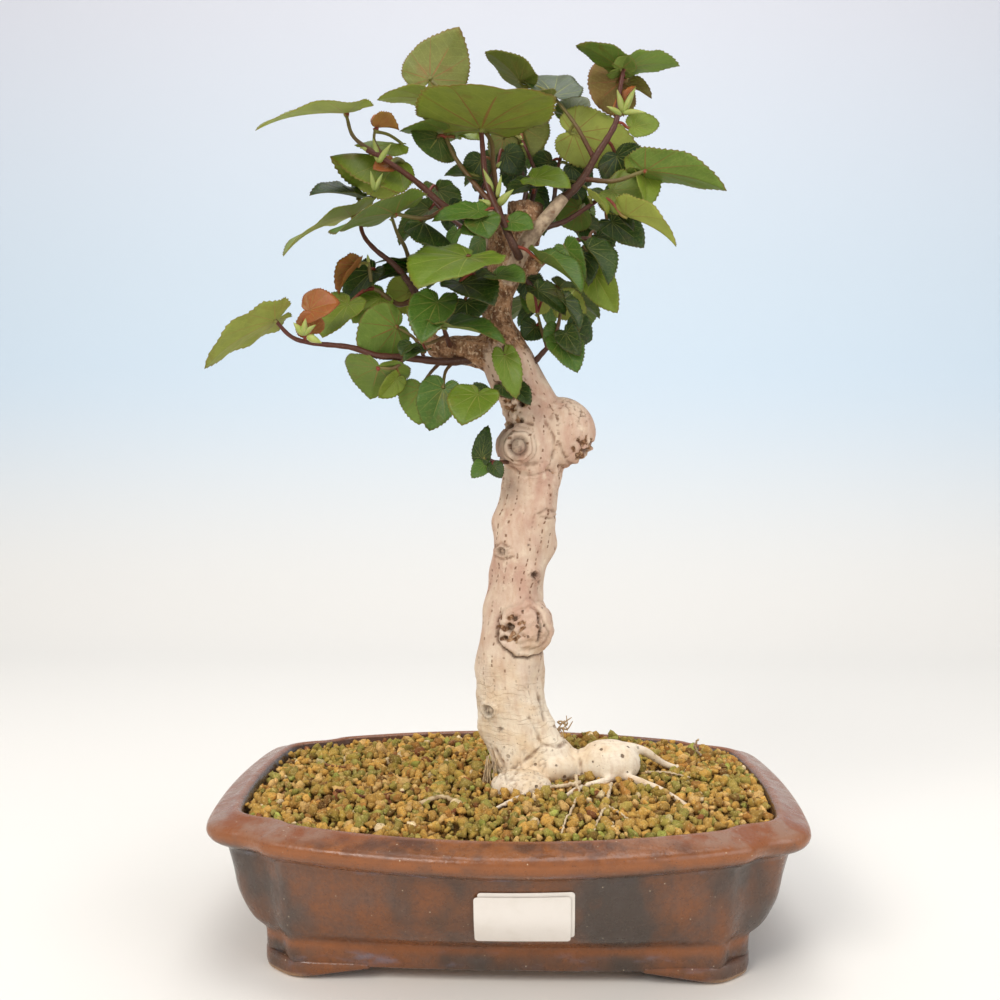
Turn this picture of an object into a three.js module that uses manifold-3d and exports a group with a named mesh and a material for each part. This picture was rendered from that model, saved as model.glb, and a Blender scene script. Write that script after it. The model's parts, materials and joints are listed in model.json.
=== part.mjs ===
// A sea hibiscus bonsai in its glazed pot, in millimetres with +Z up.
// +X is to the right of the front, +Y is to the back, and z = 0 is the table under the feet.
import * as THREE from "three";
import Module from "manifold-3d";
import { mergeVertices } from "three/addons/utils/BufferGeometryUtils.js";

const wasm = await Module();
wasm.setup();
const { Manifold, Mesh: SolidMesh } = wasm;

// Driving sizes
const POT_LENGTH = 277;
const POT_WIDTH = 220;
const POT_HEIGHT = 70;
const POT_BASE = 6;
const POT_FLOOR = 16;
const SIDE_SWELL = 4;
const FACE_SWELL = 20;
const DRAIN_RADIUS = 9;
const DRAIN_OFFSET = 55;
const DRAIN_LENGTH = 30;
const DRAIN_SIDES = 16;
const CLEARANCE = 0.35;
const BLADE = 0.9;
const LABEL_SIZE = [40.3, 22.6];
const LABEL_PAPER = 0.4;

const HALF_LENGTH = POT_LENGTH / 2;
const HALF_WIDTH = POT_WIDTH / 2;

// Small helpers

function random(seed) {
  let state = seed >>> 0;
  return () => {
    state = (state + 0x6d2b79f5) >>> 0;
    let t = Math.imul(state ^ (state >>> 15), 1 | state);
    t = (t + Math.imul(t ^ (t >>> 7), 61 | t)) ^ t;
    return ((t ^ (t >>> 14)) >>> 0) / 4294967296;
  };
}

function radians(degrees) {
  return (degrees * Math.PI) / 180;
}

// Reads a value from [key, value] rows that run upward, straight between two rows.
function readRows(rows, key) {
  let i = 1;
  while (i < rows.length - 1 && key > rows[i][0]) i += 1;
  const [k0, v0] = rows[i - 1];
  const [k1, v1] = rows[i];
  const share = Math.min(1, Math.max(0, (key - k0) / (k1 - k0)));
  return v0 + (v1 - v0) * share;
}

function facesOut(positions, index) {
  let volume = 0;
  for (let i = 0; i < index.length; i += 3) {
    const [a, b, c] = [positions[index[i]], positions[index[i + 1]], positions[index[i + 2]]];
    volume += a.dot(new THREE.Vector3().crossVectors(b, c));
  }
  return volume > 0;
}

// A closed geometry from points and triangles, turned so that it faces out.
function closedGeometry(points, index) {
  const faces = index.slice();
  if (!facesOut(points, faces)) faces.reverse();
  const geometry = new THREE.BufferGeometry().setFromPoints(points);
  geometry.setIndex(faces);
  return geometry;
}

// Joins rings of equal length into one closed skin, with a fan over each end.
function loft(rings) {
  const count = rings[0].length;
  const points = rings.flat();
  const index = [];
  for (let r = 0; r < rings.length - 1; r += 1) {
    for (let i = 0; i < count; i += 1) {
      const a = r * count + i;
      const b = r * count + ((i + 1) % count);
      index.push(a, b, a + count, b, b + count, a + count);
    }
  }
  for (const [ring, turned] of [[0, true], [rings.length - 1, false]]) {
    const middle = new THREE.Vector3();
    for (const p of rings[ring]) middle.addScaledVector(p, 1 / count);
    points.push(middle);
    for (let i = 0; i < count; i += 1) {
      const a = ring * count + i;
      const b = ring * count + ((i + 1) % count);
      index.push(points.length - 1, turned ? b : a, turned ? a : b);
    }
  }
  return closedGeometry(points, index);
}

function toSolid(geometry) {
  const plain = geometry.clone();
  plain.deleteAttribute("normal");
  plain.deleteAttribute("uv");
  const merged = mergeVertices(plain, 1e-4);
  return new Manifold(new SolidMesh({
    numProp: 3,
    vertProperties: new Float32Array(merged.attributes.position.array),
    triVerts: new Uint32Array(merged.index.array),
  }));
}

function toGeometry(solid) {
  const mesh = solid.getMesh();
  const geometry = new THREE.BufferGeometry();
  geometry.setAttribute("position", new THREE.BufferAttribute(mesh.vertProperties, 3));
  geometry.setIndex(new THREE.BufferAttribute(mesh.triVerts, 1));
  geometry.computeVertexNormals();
  return geometry;
}

function join(solids) {
  return solids.reduce((sum, next) => sum.add(next));
}

// The volume in cubic millimetres up to which a cut-off bit is a scrap.
const SCRAP_VOLUME = 6;

// Keeps the one body of a leafy stem and refuses to lose a leaf.
function wholeBody(solid, name) {
  const pieces = solid.decompose().sort((a, b) => b.volume() - a.volume());
  const lost = pieces.slice(1).filter((piece) => piece.volume() > SCRAP_VOLUME);
  if (lost.length > 0) {
    const where = lost.map((piece) => piece.boundingBox().min.map(Math.round).join(" "));
    throw new Error(`${name} has ${lost.length} loose pieces near ${where.join(" | ")}`);
  }
  return pieces[0];
}

// A round bar that tapers along a smooth path.
function taperedBar(points, startRadius, endRadius, sides, steps) {
  const curve = new THREE.CatmullRomCurve3(points);
  const frames = curve.computeFrenetFrames(steps, false);
  const rings = [];
  for (let s = 0; s <= steps; s += 1) {
    const centre = curve.getPointAt(s / steps);
    const radius = startRadius + ((endRadius - startRadius) * s) / steps;
    const ring = [];
    for (let i = 0; i < sides; i += 1) {
      const angle = (2 * Math.PI * i) / sides;
      ring.push(centre.clone()
        .addScaledVector(frames.normals[s], radius * Math.cos(angle))
        .addScaledVector(frames.binormals[s], radius * Math.sin(angle)));
    }
    rings.push(ring);
  }
  return loft(rings);
}

// A ball with its own three half sizes and an uneven skin.
function lump([x, y, z], [sx, sy, sz], detail, unevenness = 0.05) {
  const ball = mergeVertices(new THREE.IcosahedronGeometry(1, detail).deleteAttribute("uv")
    .deleteAttribute("normal"), 1e-4);
  const position = ball.attributes.position;
  for (let i = 0; i < position.count; i += 1) {
    const p = new THREE.Vector3().fromBufferAttribute(position, i);
    const swell = 1 + unevenness * Math.sin(5 * p.x + x) * Math.cos(4 * p.z + y + 3 * p.y);
    position.setXYZ(i, x + p.x * sx * swell, y + p.y * sy * swell, z + p.z * sz * swell);
  }
  return ball;
}

// Pot: a lobed rectangle whose walls belly out over a straighter, narrower base

// How far the bent side and the bent face of the rim reach from their middles.
const SIDE_REACH = 60;
const FACE_REACH = 100;

// The lobed corner between them: how far in from the pot's end, and how far from its middle line.
const RIM_CORNER = [[8, 70.5], [16, 76], [25, 79.5], [31.5, 84.5]];

// A quarter of the rim's outline, from the middle of the right side to the middle of the back.
function rimQuarter() {
  const side = [0, SIDE_REACH / 2, SIDE_REACH].map((y) => (
    [HALF_LENGTH - SIDE_SWELL * (y / SIDE_REACH) ** 2, y]
  ));
  const corner = RIM_CORNER.map(([inward, y]) => [HALF_LENGTH - inward, y]);
  const face = [FACE_REACH, 67, 33, 0].map((x) => (
    [x, HALF_WIDTH - FACE_SWELL * (x / FACE_REACH) ** 2]
  ));
  return [...side, ...corner, ...face];
}

// The same quarter of the base.
const BASE_QUARTER = [
  [110, 0], [110, 26], [109, 50], [107, 59.5], [102, 64], [98, 67], [95, 71.5],
  [88, 74], [60, 75.5], [30, 76.6], [0, 77],
];

// A whole outline, anticlockwise from the middle of the right side.
function wholePlan(quarter) {
  const backLeft = quarter.slice(0, -1).reverse().map(([x, y]) => [-x, y]);
  const half = [...quarter, ...backLeft];
  const front = half.slice(1, -1).reverse().map(([x, y]) => [x, -y]);
  return [...half, ...front];
}

// A ring at height z: the rim's outline drawn towards the base's by a share, then in by inset.
function ringAt(inset, z, baseShare) {
  const across = 1 - inset / HALF_LENGTH;
  const deep = 1 - inset / HALF_WIDTH;
  const base = wholePlan(BASE_QUARTER);
  return wholePlan(rimQuarter()).map(([x, y], i) => new THREE.Vector3(
    (x + (base[i][0] - x) * baseShare) * across,
    (y + (base[i][1] - y) * baseShare) * deep,
    z,
  ));
}

// The outer wall, row by row: height, inset and share of the base's outline.
const OUTER_WALL = [
  [POT_BASE, 0.8, 1], [13, 0, 1], [17, 0.6, 0.96], [20, 1.8, 0.8], [24, 3.4, 0.6],
  [34, 6.2, 0.3], [54.5, 9.2, 0], [57.5, 4, 0], [61, 0.6, 0], [65, 0, 0],
];
const RIM_TOP = [POT_HEIGHT, 12, 0];
const INNER_TOP = [68.5, 14.8, 0];
const INNER_LOW = [POT_FLOOR, 8, 1];
const INNER_BENDS = [61, 46, 31];

// The inner wall at height z, drawn in by a gap.
function innerRing(z, gap) {
  const share = (INNER_TOP[0] - z) / (INNER_TOP[0] - INNER_LOW[0]);
  const lowRing = ringAt(INNER_LOW[1] + gap, z, INNER_LOW[2]);
  return ringAt(INNER_TOP[1] + gap, z, INNER_TOP[2]).map((p, i) => p.lerp(lowRing[i], share));
}

// Feet that run round each corner under the base and curl up to both ends.
const FOOT_PATH = [[60, 75], [76, 74.6], [90, 73.2], [100, 67], [107.4, 58], [109.4, 42], [109.6, 28]];
const FOOT_LIFT = [POT_BASE - 0.6, 1.6, 0, 0, 0, 1.6, POT_BASE - 0.6];
const FOOT_TOP = POT_BASE + 2;
const FOOT_WIDTH = 11;
const FOOT_BULGE = 0.5;
const FOOT_TURN = 1.4;

function footGeometry(mirrorX, mirrorY) {
  const rings = FOOT_PATH.map(([x, y], i) => {
    const inward = new THREE.Vector2(-x, -y * FOOT_TURN).normalize();
    const corners = [
      [-FOOT_BULGE, FOOT_LIFT[i]], [-FOOT_BULGE, FOOT_TOP], [FOOT_WIDTH, FOOT_TOP],
      [FOOT_WIDTH, FOOT_LIFT[i]],
    ];
    return corners.map(([depth, z]) => new THREE.Vector3(
      mirrorX * (x + inward.x * depth),
      mirrorY * (y + inward.y * depth),
      z,
    ));
  });
  return loft(rings);
}

function potGeometry() {
  const outside = [...OUTER_WALL, RIM_TOP, INNER_TOP];
  const rings = outside.map(([z, inset, share]) => ringAt(inset, z, share));
  rings.push(...[...INNER_BENDS, POT_FLOOR].map((z) => innerRing(z, 0)));
  let solid = toSolid(loft(rings));
  for (const sx of [-1, 1]) {
    for (const sy of [-1, 1]) solid = solid.add(toSolid(footGeometry(sx, sy)));
    const hole = new THREE.CylinderGeometry(DRAIN_RADIUS, DRAIN_RADIUS, DRAIN_LENGTH, DRAIN_SIDES);
    hole.rotateX(Math.PI / 2);
    hole.translate(sx * DRAIN_OFFSET, 0, POT_BASE);
    solid = solid.subtract(toSolid(hole));
  }
  return toGeometry(solid);
}

// A square of plastic net over each drain hole.
const NET_SIZE = 30;
const NET_THICKNESS = 1.2;
const NET_BAR = 3.6;
const NET_REACH = (NET_SIZE - NET_BAR) / 2;
const NET_LIFT = 0.3;

function netGeometry() {
  const bars = [];
  for (const offset of [-NET_REACH, 0, NET_REACH]) {
    const across = new THREE.BoxGeometry(NET_SIZE, NET_BAR, NET_THICKNESS);
    across.translate(0, offset, NET_THICKNESS / 2);
    const deep = new THREE.BoxGeometry(NET_BAR, NET_SIZE, NET_THICKNESS);
    deep.translate(offset, 0, NET_THICKNESS / 2);
    bars.push(toSolid(across), toSolid(deep));
  }
  return toGeometry(join(bars));
}

// The base's front: how far out it stands, how much it bends back at its first point from the
// corner, and by what share its points lie closer together than the rim's.
const BASE_FRONT = 77;
const BASE_BEND = 1.5;
const BASE_BEND_AT = 67;
const BASE_CROWDING = 0.1;

// The y of the front wall at a place across and up.
function frontWall(x, z) {
  const inset = readRows(OUTER_WALL, z);
  const share = readRows(OUTER_WALL.map(([height, , base]) => [height, base]), z);
  const rimX = x / (1 - inset / HALF_LENGTH) / (1 - share * BASE_CROWDING);
  const rimY = HALF_WIDTH - FACE_SWELL * (rimX / FACE_REACH) ** 2;
  const baseY = BASE_FRONT - BASE_BEND * (rimX / BASE_BEND_AT) ** 2;
  return -(rimY + (baseY - rimY) * share) * (1 - inset / HALF_WIDTH);
}

// The height at which the wall, and a label on it, bends inward.
const WALL_BEND = 34;

// A closed sheet between two grids of points, whose rows run down and columns to the right.
function sheetGeometry(inside, outside) {
  const [rows, columns] = [inside.length, inside[0].length];
  const far = rows * columns;
  const index = [];
  const tile = (a, b, c, d) => index.push(a, b, c, a, c, d);
  for (let r = 0; r < rows - 1; r += 1) {
    for (let c = 0; c < columns - 1; c += 1) {
      const a = r * columns + c;
      const below = a + columns;
      tile(a, a + 1, below + 1, below);
      tile(far + a, far + below, far + below + 1, far + a + 1);
    }
    const left = r * columns;
    const right = left + columns - 1;
    tile(left, left + columns, far + left + columns, far + left);
    tile(far + right, far + right + columns, right + columns, right);
  }
  for (let c = 0; c < columns - 1; c += 1) {
    const low = far - columns + c;
    tile(far + c, far + c + 1, c + 1, c);
    tile(far + low, low, low + 1, far + low + 1);
  }
  return closedGeometry([...inside.flat(), ...outside.flat()], index);
}

// Blank paper labels that follow the front wall: left edge, top, tilt and distance off the wall.
const LABELS = {
  paper_label_lower: [-11.5, 49, 0.012, 0.3],
  paper_label_upper: [-13.1, 47, 0.012, 0.95],
};
const LABEL_SPOTS = [0, 1, 2, 3, 4, 5, 6];

function labelGeometry([left, top, tilt, off]) {
  const [width, height] = LABEL_SIZE;
  const spots = LABEL_SPOTS.map((i) => (width * i) / (LABEL_SPOTS.length - 1));
  const drops = [
    () => 0,
    (across) => top + tilt * across - WALL_BEND,
    () => height,
  ];
  const grid = (outward) => drops.map((drop) => spots.map((across) => {
    const down = drop(across);
    const x = left + across + tilt * down;
    const z = top - down + tilt * across;
    return new THREE.Vector3(x, frontWall(x, z) - outward, z);
  }));
  return sheetGeometry(grid(off), grid(off + LABEL_PAPER));
}

// Soil: granules heaped to a low mound

const SOIL_EDGE = 66;
const SOIL_DROP = 1.5;
const SOIL_GAP = CLEARANCE + 0.1;
const SOIL_SHARES = [1, 0.86, 0.7, 0.54, 0.38];
const COARSE_RELIEF = 0.9;
const FINE_RELIEF = 0.7;
const MOUND = { x: 18.5, y: 4, stretch: 1.25, reach: 105, rise: 7 };

// The hollow in the soil for a drain net: how much wider it is, and how high.
const NET_ROOM = 0.7;
const NET_ROOM_HEIGHT = 3.8;

function soilHeight(x, y) {
  const away = Math.hypot((x - MOUND.x) / MOUND.stretch, y - MOUND.y) / MOUND.reach;
  return SOIL_EDGE + MOUND.rise * Math.max(0, 1 - away * away);
}

function soilRelief(x, y) {
  const coarse = Math.sin(0.21 * x + 1.3) * Math.cos(0.26 * y - 0.4);
  const fine = Math.sin(0.83 * x + 0.57 * y) * Math.cos(0.71 * y - 0.49 * x);
  return soilHeight(x, y) + COARSE_RELIEF * coarse + FINE_RELIEF * fine;
}

function soilGeometry(roots) {
  const edge = SOIL_EDGE - SOIL_DROP;
  const rim = innerRing(edge, SOIL_GAP);
  const side = [...INNER_BENDS, POT_FLOOR + CLEARANCE].reverse();
  const rings = side.map((z) => innerRing(z, SOIL_GAP));
  rings.push(...SOIL_SHARES.map((share) => rim.map((p) => {
    const [x, y] = [p.x * share, p.y * share];
    const lift = share === 1 ? edge : soilRelief(x, y);
    return new THREE.Vector3(x, y, lift);
  })));
  let solid = toSolid(loft(rings.reverse())).subtract(roots);
  for (const sx of [-1, 1]) {
    const room = new THREE.BoxGeometry(NET_SIZE + NET_ROOM, NET_SIZE + NET_ROOM, NET_ROOM_HEIGHT);
    room.translate(sx * DRAIN_OFFSET, 0, POT_FLOOR);
    solid = solid.subtract(toSolid(room));
  }
  return toGeometry(wholeBody(solid, "soil"));
}

// The plant stands a little left of the place that its own rows are measured from.
const PLANT_SHIFT = [-3.5, 0, 0];

// Trunk: one grown piece with its burls, cut limbs and surface roots

// Height, middle across, half width and half depth of the trunk.
const TRUNK_ROWS = [
  [48, 18, 15, 13], [66, 18, 21, 18], [84, 14.5, 22, 18], [94, 7.4, 19.1, 16], [103, 5.2, 17.3, 15.5],
  [113, 3.9, 16.6, 15], [131, 3.8, 16.1, 14.5], [141, 4.6, 15.6, 14], [152, 5.6, 15.1, 13.5],
  [165, 6.1, 13.4, 12.5], [173, 7.2, 13.9, 12.5], [180, 8.4, 14, 12.5], [192, 9.6, 14.8, 13],
  [205, 12.2, 14, 12.5], [220, 14.8, 14.7, 13], [233, 15.5, 15.5, 13], [247, 16, 16, 13],
  [256, 12.6, 14.7, 12.5], [266, 6.2, 14.7, 12.5], [280, 0.7, 13.7, 12], [288, -2, 10.4, 10],
  [296, -4, 7.6, 7.5], [303, -3.6, 6.8, 6.8], [311, -0.6, 6.6, 6.6], [318, 1.2, 9.4, 8.6],
  [326, 1.6, 11.2, 9.6], [341, 2, 10.6, 9], [346, 3, 7, 6],
];

// Knots that swell the trunk: [x, y, z], how far they stand out and how wide they are.
const KNOTS = [
  [[-1, -12, 184], 2.2, 6], [[16, -12, 172], 3, 6], [[22, -12, 201], 2.5, 6], [[24, 0, 185], 2.5, 7],
  [[-6, 0, 200], 2.5, 7], [[-15, 0, 124], 2.5, 8], [[-7, -14, 106], 2.5, 6], [[22, -6, 98], 2.5, 6],
  [[11, -14, 146], 5, 11], [[7.5, -14, 233], 5, 10],
];

// Each limb: path points [x, y, z], radius at its start and at its end.
const LIMBS = [
  {
    path: [
      [-2, 0, 277], [-14, -1, 280], [-24, -3, 281], [-33, -4, 282], [-40, -3, 290], [-43, -1, 303],
    ],
    radii: [9.5, 2.6],
  },
  { path: [[2, -4, 316], [7, -6, 327], [17, -7, 340], [28.5, -6, 354]], radii: [4.2, 3] },
  { path: [[-5, 0, 326], [-6.4, 0, 340], [-7, 0, 359]], radii: [3.4, 2.3] },
  { path: [[8, 3, 333], [9.5, 3, 344], [10.2, 3, 353]], radii: [9.4, 9] },
  { path: [[6, 3, 317], [13, 4, 321.5], [21, 4, 326.5], [31.5, 4, 332.5]], radii: [3, 1.9] },
  { path: [[24, -3, 76], [38, -3, 76], [50, -3, 77]], radii: [9, 9] },
];

// Burls and the swollen root knees: middle, half sizes, detail.
const LUMPS = [
  [[7.5, -9.5, 233.2], [11.4, 9.5, 11.2], 1],
  [[27, -1, 240.5], [18, 12, 17.4], 2],
  [[13.5, -2, 322], [5, 5, 5.2], 1],
  [[23, -9, 77.5], [14, 10, 8.6], 1],
  [[52.6, -4, 78.5], [15.3, 12, 11.6], 1],
  [[9.5, -24, 71], [14.6, 11.5, 6.6], 1],
];

// Surface roots: path points [x, y] with the height of the root's middle over the soil.
const ROOTS = [
  { path: [[60, -3, 14], [70, 2, 11], [80, 8, 4], [89, 12, 0], [96, 15, -3]], radii: [3.4, 1.7] },
  { path: [[56, -12, 1], [47, -20, 0.6], [38, -27, 0.4], [28, -40, -1]], radii: [2.6, 1.6] },
  { path: [[58, -12, 2], [70, -20, 0.6], [78, -30, 0.2], [87, -43, -1.6]], radii: [3, 1.5] },
  { path: [[14, -30, 0], [8, -44, 0.4], [-4, -56, -0.6]], radii: [2, 1.2] },
];

function knotSwell(point) {
  let swell = 0;
  for (const [middle, rise, spread] of KNOTS) {
    const away = point.distanceTo(new THREE.Vector3(...middle)) / spread;
    swell += rise * Math.exp(-away * away);
  }
  return swell;
}

const TRUNK_SIDES = 12;
const LIMB_SIDES = 6;
const ROOT_SIDES = 4;
const WIDE_RIPPLE = 0.035;
const FINE_RIPPLE = 0.02;

function trunkRings(grow) {
  return TRUNK_ROWS.map(([z, x, halfWidth, halfDepth]) => {
    const ring = [];
    for (let i = 0; i < TRUNK_SIDES; i += 1) {
      const angle = (2 * Math.PI * i) / TRUNK_SIDES;
      const wide = WIDE_RIPPLE * Math.sin(3 * angle + z * 0.11);
      const fine = FINE_RIPPLE * Math.sin(5 * angle - z * 0.3);
      const ripple = 1 + wide + fine;
      const [cx, cy] = [Math.cos(angle), Math.sin(angle)];
      const skin = new THREE.Vector3(x + halfWidth * ripple * cx, halfDepth * ripple * cy, z);
      const out = grow + knotSwell(skin);
      ring.push(skin.add(new THREE.Vector3(out * cx, out * cy, 0)));
    }
    return ring;
  });
}

function rootPoint([x, y, lift]) {
  return new THREE.Vector3(x, y, soilHeight(x + PLANT_SHIFT[0], y) + lift);
}

// The trunk, or with grow the same shape a little fatter, to clear what meets it.
function trunkSolid(grow) {
  const parts = [toSolid(loft(trunkRings(grow)))];
  for (const { path, radii } of LIMBS) {
    const points = path.map((p) => new THREE.Vector3(...p));
    if (grow > 0) {
      const last = points[points.length - 1];
      const before = points[points.length - 2];
      points.push(last.clone().add(last.clone().sub(before).setLength(grow)));
    }
    parts.push(toSolid(taperedBar(points, radii[0] + grow, radii[1] + grow, LIMB_SIDES, path.length)));
  }
  for (const [middle, half, detail] of LUMPS) {
    parts.push(toSolid(lump(middle, half.map((h) => h + grow), detail)));
  }
  for (const { path, radii } of ROOTS) {
    const points = path.map(rootPoint);
    parts.push(toSolid(taperedBar(points, radii[0] + grow, radii[1] + grow, ROOT_SIDES, path.length - 1)));
  }
  return join(parts);
}

// Leafy stems

// Leaf and stem places are [across, up, back]: across and up as they show from EYE on the
// upright plane through the middle of the pot, and back the real distance behind that plane.
const EYE = new THREE.Vector3(12, -566, 226);

function place([across, up, back]) {
  const shown = new THREE.Vector3(across, 0, up);
  const stretch = (back - EYE.y) / -EYE.y;
  return EYE.clone().addScaledVector(shown.sub(EYE), stretch);
}

// Half of a heart-shaped leaf: degrees from the tip and reach from the stalk, for length 1.
const LEAF_OUTLINE = [
  [0, 1], [7, 0.94], [18, 0.85], [34, 0.74], [53, 0.635], [75, 0.55],
  [100, 0.475], [122, 0.385], [142, 0.3], [160, 0.2], [172, 0.11], [180, 0.05],
];
const TOOTH = 0.035;
const ARCH = 0.05;
const STALK_ROOM = 4;

function leafFrame(stalk, tip, looks) {
  const along = tip.clone().sub(stalk);
  const length = along.length();
  along.normalize();
  const up = new THREE.Vector3(...looks);
  up.addScaledVector(along, -up.dot(along)).normalize();
  const side = new THREE.Vector3().crossVectors(along, up);
  return { along, up, side, length };
}

// A skin that grows ring by ring into one closed piece.
function newSkin() {
  return { points: [], faces: [] };
}

function addPoints(skin, points) {
  const first = skin.points.length;
  skin.points.push(...points);
  return points.map((_, i) => first + i);
}

function addQuad(skin, [a, b, c, d]) {
  skin.faces.push(a, b, c, a, c, d);
}

function squareRing(centre, normal, binormal, radius) {
  return [0, 1, 2, 3].map((i) => {
    const angle = radians(90 * i);
    return centre.clone()
      .addScaledVector(normal, radius * Math.cos(angle))
      .addScaledVector(binormal, radius * Math.sin(angle));
  });
}

// The turn of one ring that lies closest to another, so that a skin between them isn't twisted.
function bestTurn(skin, ring, other) {
  let best = { turn: 0, sum: Infinity };
  for (let turn = 0; turn < 4; turn += 1) {
    const sum = ring.reduce((total, index, i) => (
      total + skin.points[index].distanceTo(skin.points[other[(i + turn) % 4]])
    ), 0);
    if (sum < best.sum) best = { turn, sum };
  }
  return best.turn;
}

const CURVE_STEPS = 20;

// Square rings along a curve, closed at the start. It returns the last ring, which is open.
function growBar(skin, curve, shares, startRadius, endRadius) {
  const frames = curve.computeFrenetFrames(CURVE_STEPS, false);
  let ring = null;
  for (const share of shares) {
    const f = Math.round(CURVE_STEPS * share);
    const radius = startRadius + (endRadius - startRadius) * share;
    const points = squareRing(curve.getPointAt(share), frames.normals[f], frames.binormals[f], radius);
    const next = addPoints(skin, points);
    if (ring === null) addQuad(skin, [next[3], next[2], next[1], next[0]]);
    else tieRings(skin, ring, next);
    ring = next;
  }
  return ring;
}

function tieRings(skin, ring, next, turn = 0) {
  for (let i = 0; i < 4; i += 1) {
    const j = (i + 1) % 4;
    addQuad(skin, [ring[i], ring[j], next[(j + turn) % 4], next[(i + turn) % 4]]);
  }
}

function skinSolid(skin) {
  return toSolid(closedGeometry(skin.points, skin.faces));
}

// A stem stops a little short of its last point, so that a leaf stalk can go on from it.
function stemShares(path, curve) {
  const reach = 1 - STALK_ROOM / curve.getLength();
  return path.map((_, i) => (reach * i) / (path.length - 1));
}

function stemSolid(path, radii) {
  const skin = newSkin();
  const curve = new THREE.CatmullRomCurve3(path.map(place));
  addQuad(skin, growBar(skin, curve, stemShares(path, curve), radii[0], radii[1]));
  return skinSolid(skin);
}

// A stalk leaves the first length of a stem past its middle, to clear the trunk, and no length
// beyond the last share.
const FIRST_SHARE = 0.5;
const LAST_SHARE = 0.9;

// The point of the stems that a stalk grows from, clear of the trunk.
function nearestOn(stems, target) {
  let best = { distance: Infinity };
  for (const { path } of stems) {
    const curve = new THREE.CatmullRomCurve3(path.map(place));
    const centres = stemShares(path, curve).map((share) => curve.getPointAt(share));
    for (let i = 1; i < centres.length; i += 1) {
      const length = new THREE.Line3(centres[i - 1], centres[i]);
      const least = i === 1 ? FIRST_SHARE : 0;
      const nearest = length.closestPointToPointParameter(target, true);
      const share = Math.max(least, Math.min(LAST_SHARE, nearest));
      const point = length.at(share, new THREE.Vector3());
      const distance = point.distanceTo(target);
      if (distance < best.distance) best = { point, distance };
    }
  }
  return best.point;
}

// How many outline points each half of a blade has, by the width it is wider than.
const OUTLINE_POINTS = [[27, 8], [19, 6], [15, 5], [0, 4]];
const LOBE_ANGLE = 155;
const HUBS = [0.18, 0.6];
const SHORT_STALK = 6;
const STRAIGHT_SHARE = 0.9;

// The outline's own width for length 1, and how its points crowd towards the tip.
const OUTLINE_WIDTH = 1.06;
const CROWDING = 1.15;

// The lobes keep clear of the stalk from this share of the outline on, by so many stalk radii.
const LOBE_SHARE = 0.75;
const LOBE_CLEAR = 2.2;
const NOTCH_DEPTH = 0.02;

// Half of a blade's edge from beside the tip to the notch, each point [ahead, across].
function bladeEdge(length, width, points, stalkRadius) {
  const squash = width / (OUTLINE_WIDTH * length);
  const edge = [];
  for (let i = 1; i < points; i += 1) {
    const share = i / (points - 1);
    const angle = LOBE_ANGLE * share ** CROWDING;
    const tooth = share === 1 ? 0 : TOOTH * (i % 2 === 0 ? -1 : 1);
    const reach = length * (readRows(LEAF_OUTLINE, angle) + tooth);
    const across = reach * Math.sin(radians(angle)) * squash;
    const least = share > LOBE_SHARE ? LOBE_CLEAR * stalkRadius : 0;
    edge.push([reach * Math.cos(radians(angle)), Math.max(least, across)]);
  }
  edge.push([-NOTCH_DEPTH * length, stalkRadius]);
  return edge;
}

// The share of the outline that the hub near the tip serves.
const NEAR_SHARE = 0.35;

// Adds a toothed blade, folded along its midrib and arched from stalk to tip, with two hubs
// for its triangles on each face. It returns the open square at the stalk end.
function addBlade(skin, notch, { along, up, side, length }, width, fold, stalkRadius) {
  const half = OUTLINE_POINTS.find(([over]) => width > over)[1];
  const right = bladeEdge(length, width, half, stalkRadius);
  const left = right.map(([ahead, across]) => [ahead, -across]).reverse();
  const middle = [...HUBS, 1].map((share) => [share * length, 0]);
  const plan = [...middle, ...right, ...left];
  const lean = radians(fold);
  const [top, bottom] = [0.5, -0.5].map((face) => addPoints(skin, plan.map(([ahead, across]) => {
    const t = ahead / length;
    const arch = ARCH * length * 4 * Math.max(0, t) * (1 - t);
    return notch.clone()
      .addScaledVector(along, ahead)
      .addScaledVector(side, across * Math.cos(lean))
      .addScaledVector(up, arch + Math.abs(across) * Math.sin(lean) + (face * BLADE) / Math.cos(lean));
  })));
  const count = plan.length - HUBS.length;
  const near = Math.max(1, Math.round(half * NEAR_SHARE));
  const corner = (i) => HUBS.length + (i % count);
  for (let i = 0; i < count; i += 1) {
    const [a, b] = [corner(i), corner(i + 1)];
    const hub = i < near || i >= count - near ? 1 : 0;
    skin.faces.push(top[hub], top[b], top[a], bottom[hub], bottom[a], bottom[b]);
    if (i !== half) addQuad(skin, [top[a], top[b], bottom[b], bottom[a]]);
  }
  for (const i of [near, count - near]) {
    const [first, second] = i === near ? [1, 0] : [0, 1];
    skin.faces.push(top[first], top[second], top[corner(i)]);
    skin.faces.push(bottom[second], bottom[first], bottom[corner(i)]);
  }
  const [r, l] = [corner(half), corner(half + 1)];
  return [bottom[l], top[l], top[r], bottom[r]];
}

// A stalk's radius grows with the blade's width.
const STALK_RADIUS = 0.55;
const STALK_GROWTH = 0.012;

// In stalk radii: how deep a stalk of its own is sunk into the blade, and how far behind and
// above the notch a grown stalk ends.
const SEAT = 1.5;
const BEHIND = 1.6;
const ABOVE = 1.8;

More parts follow.
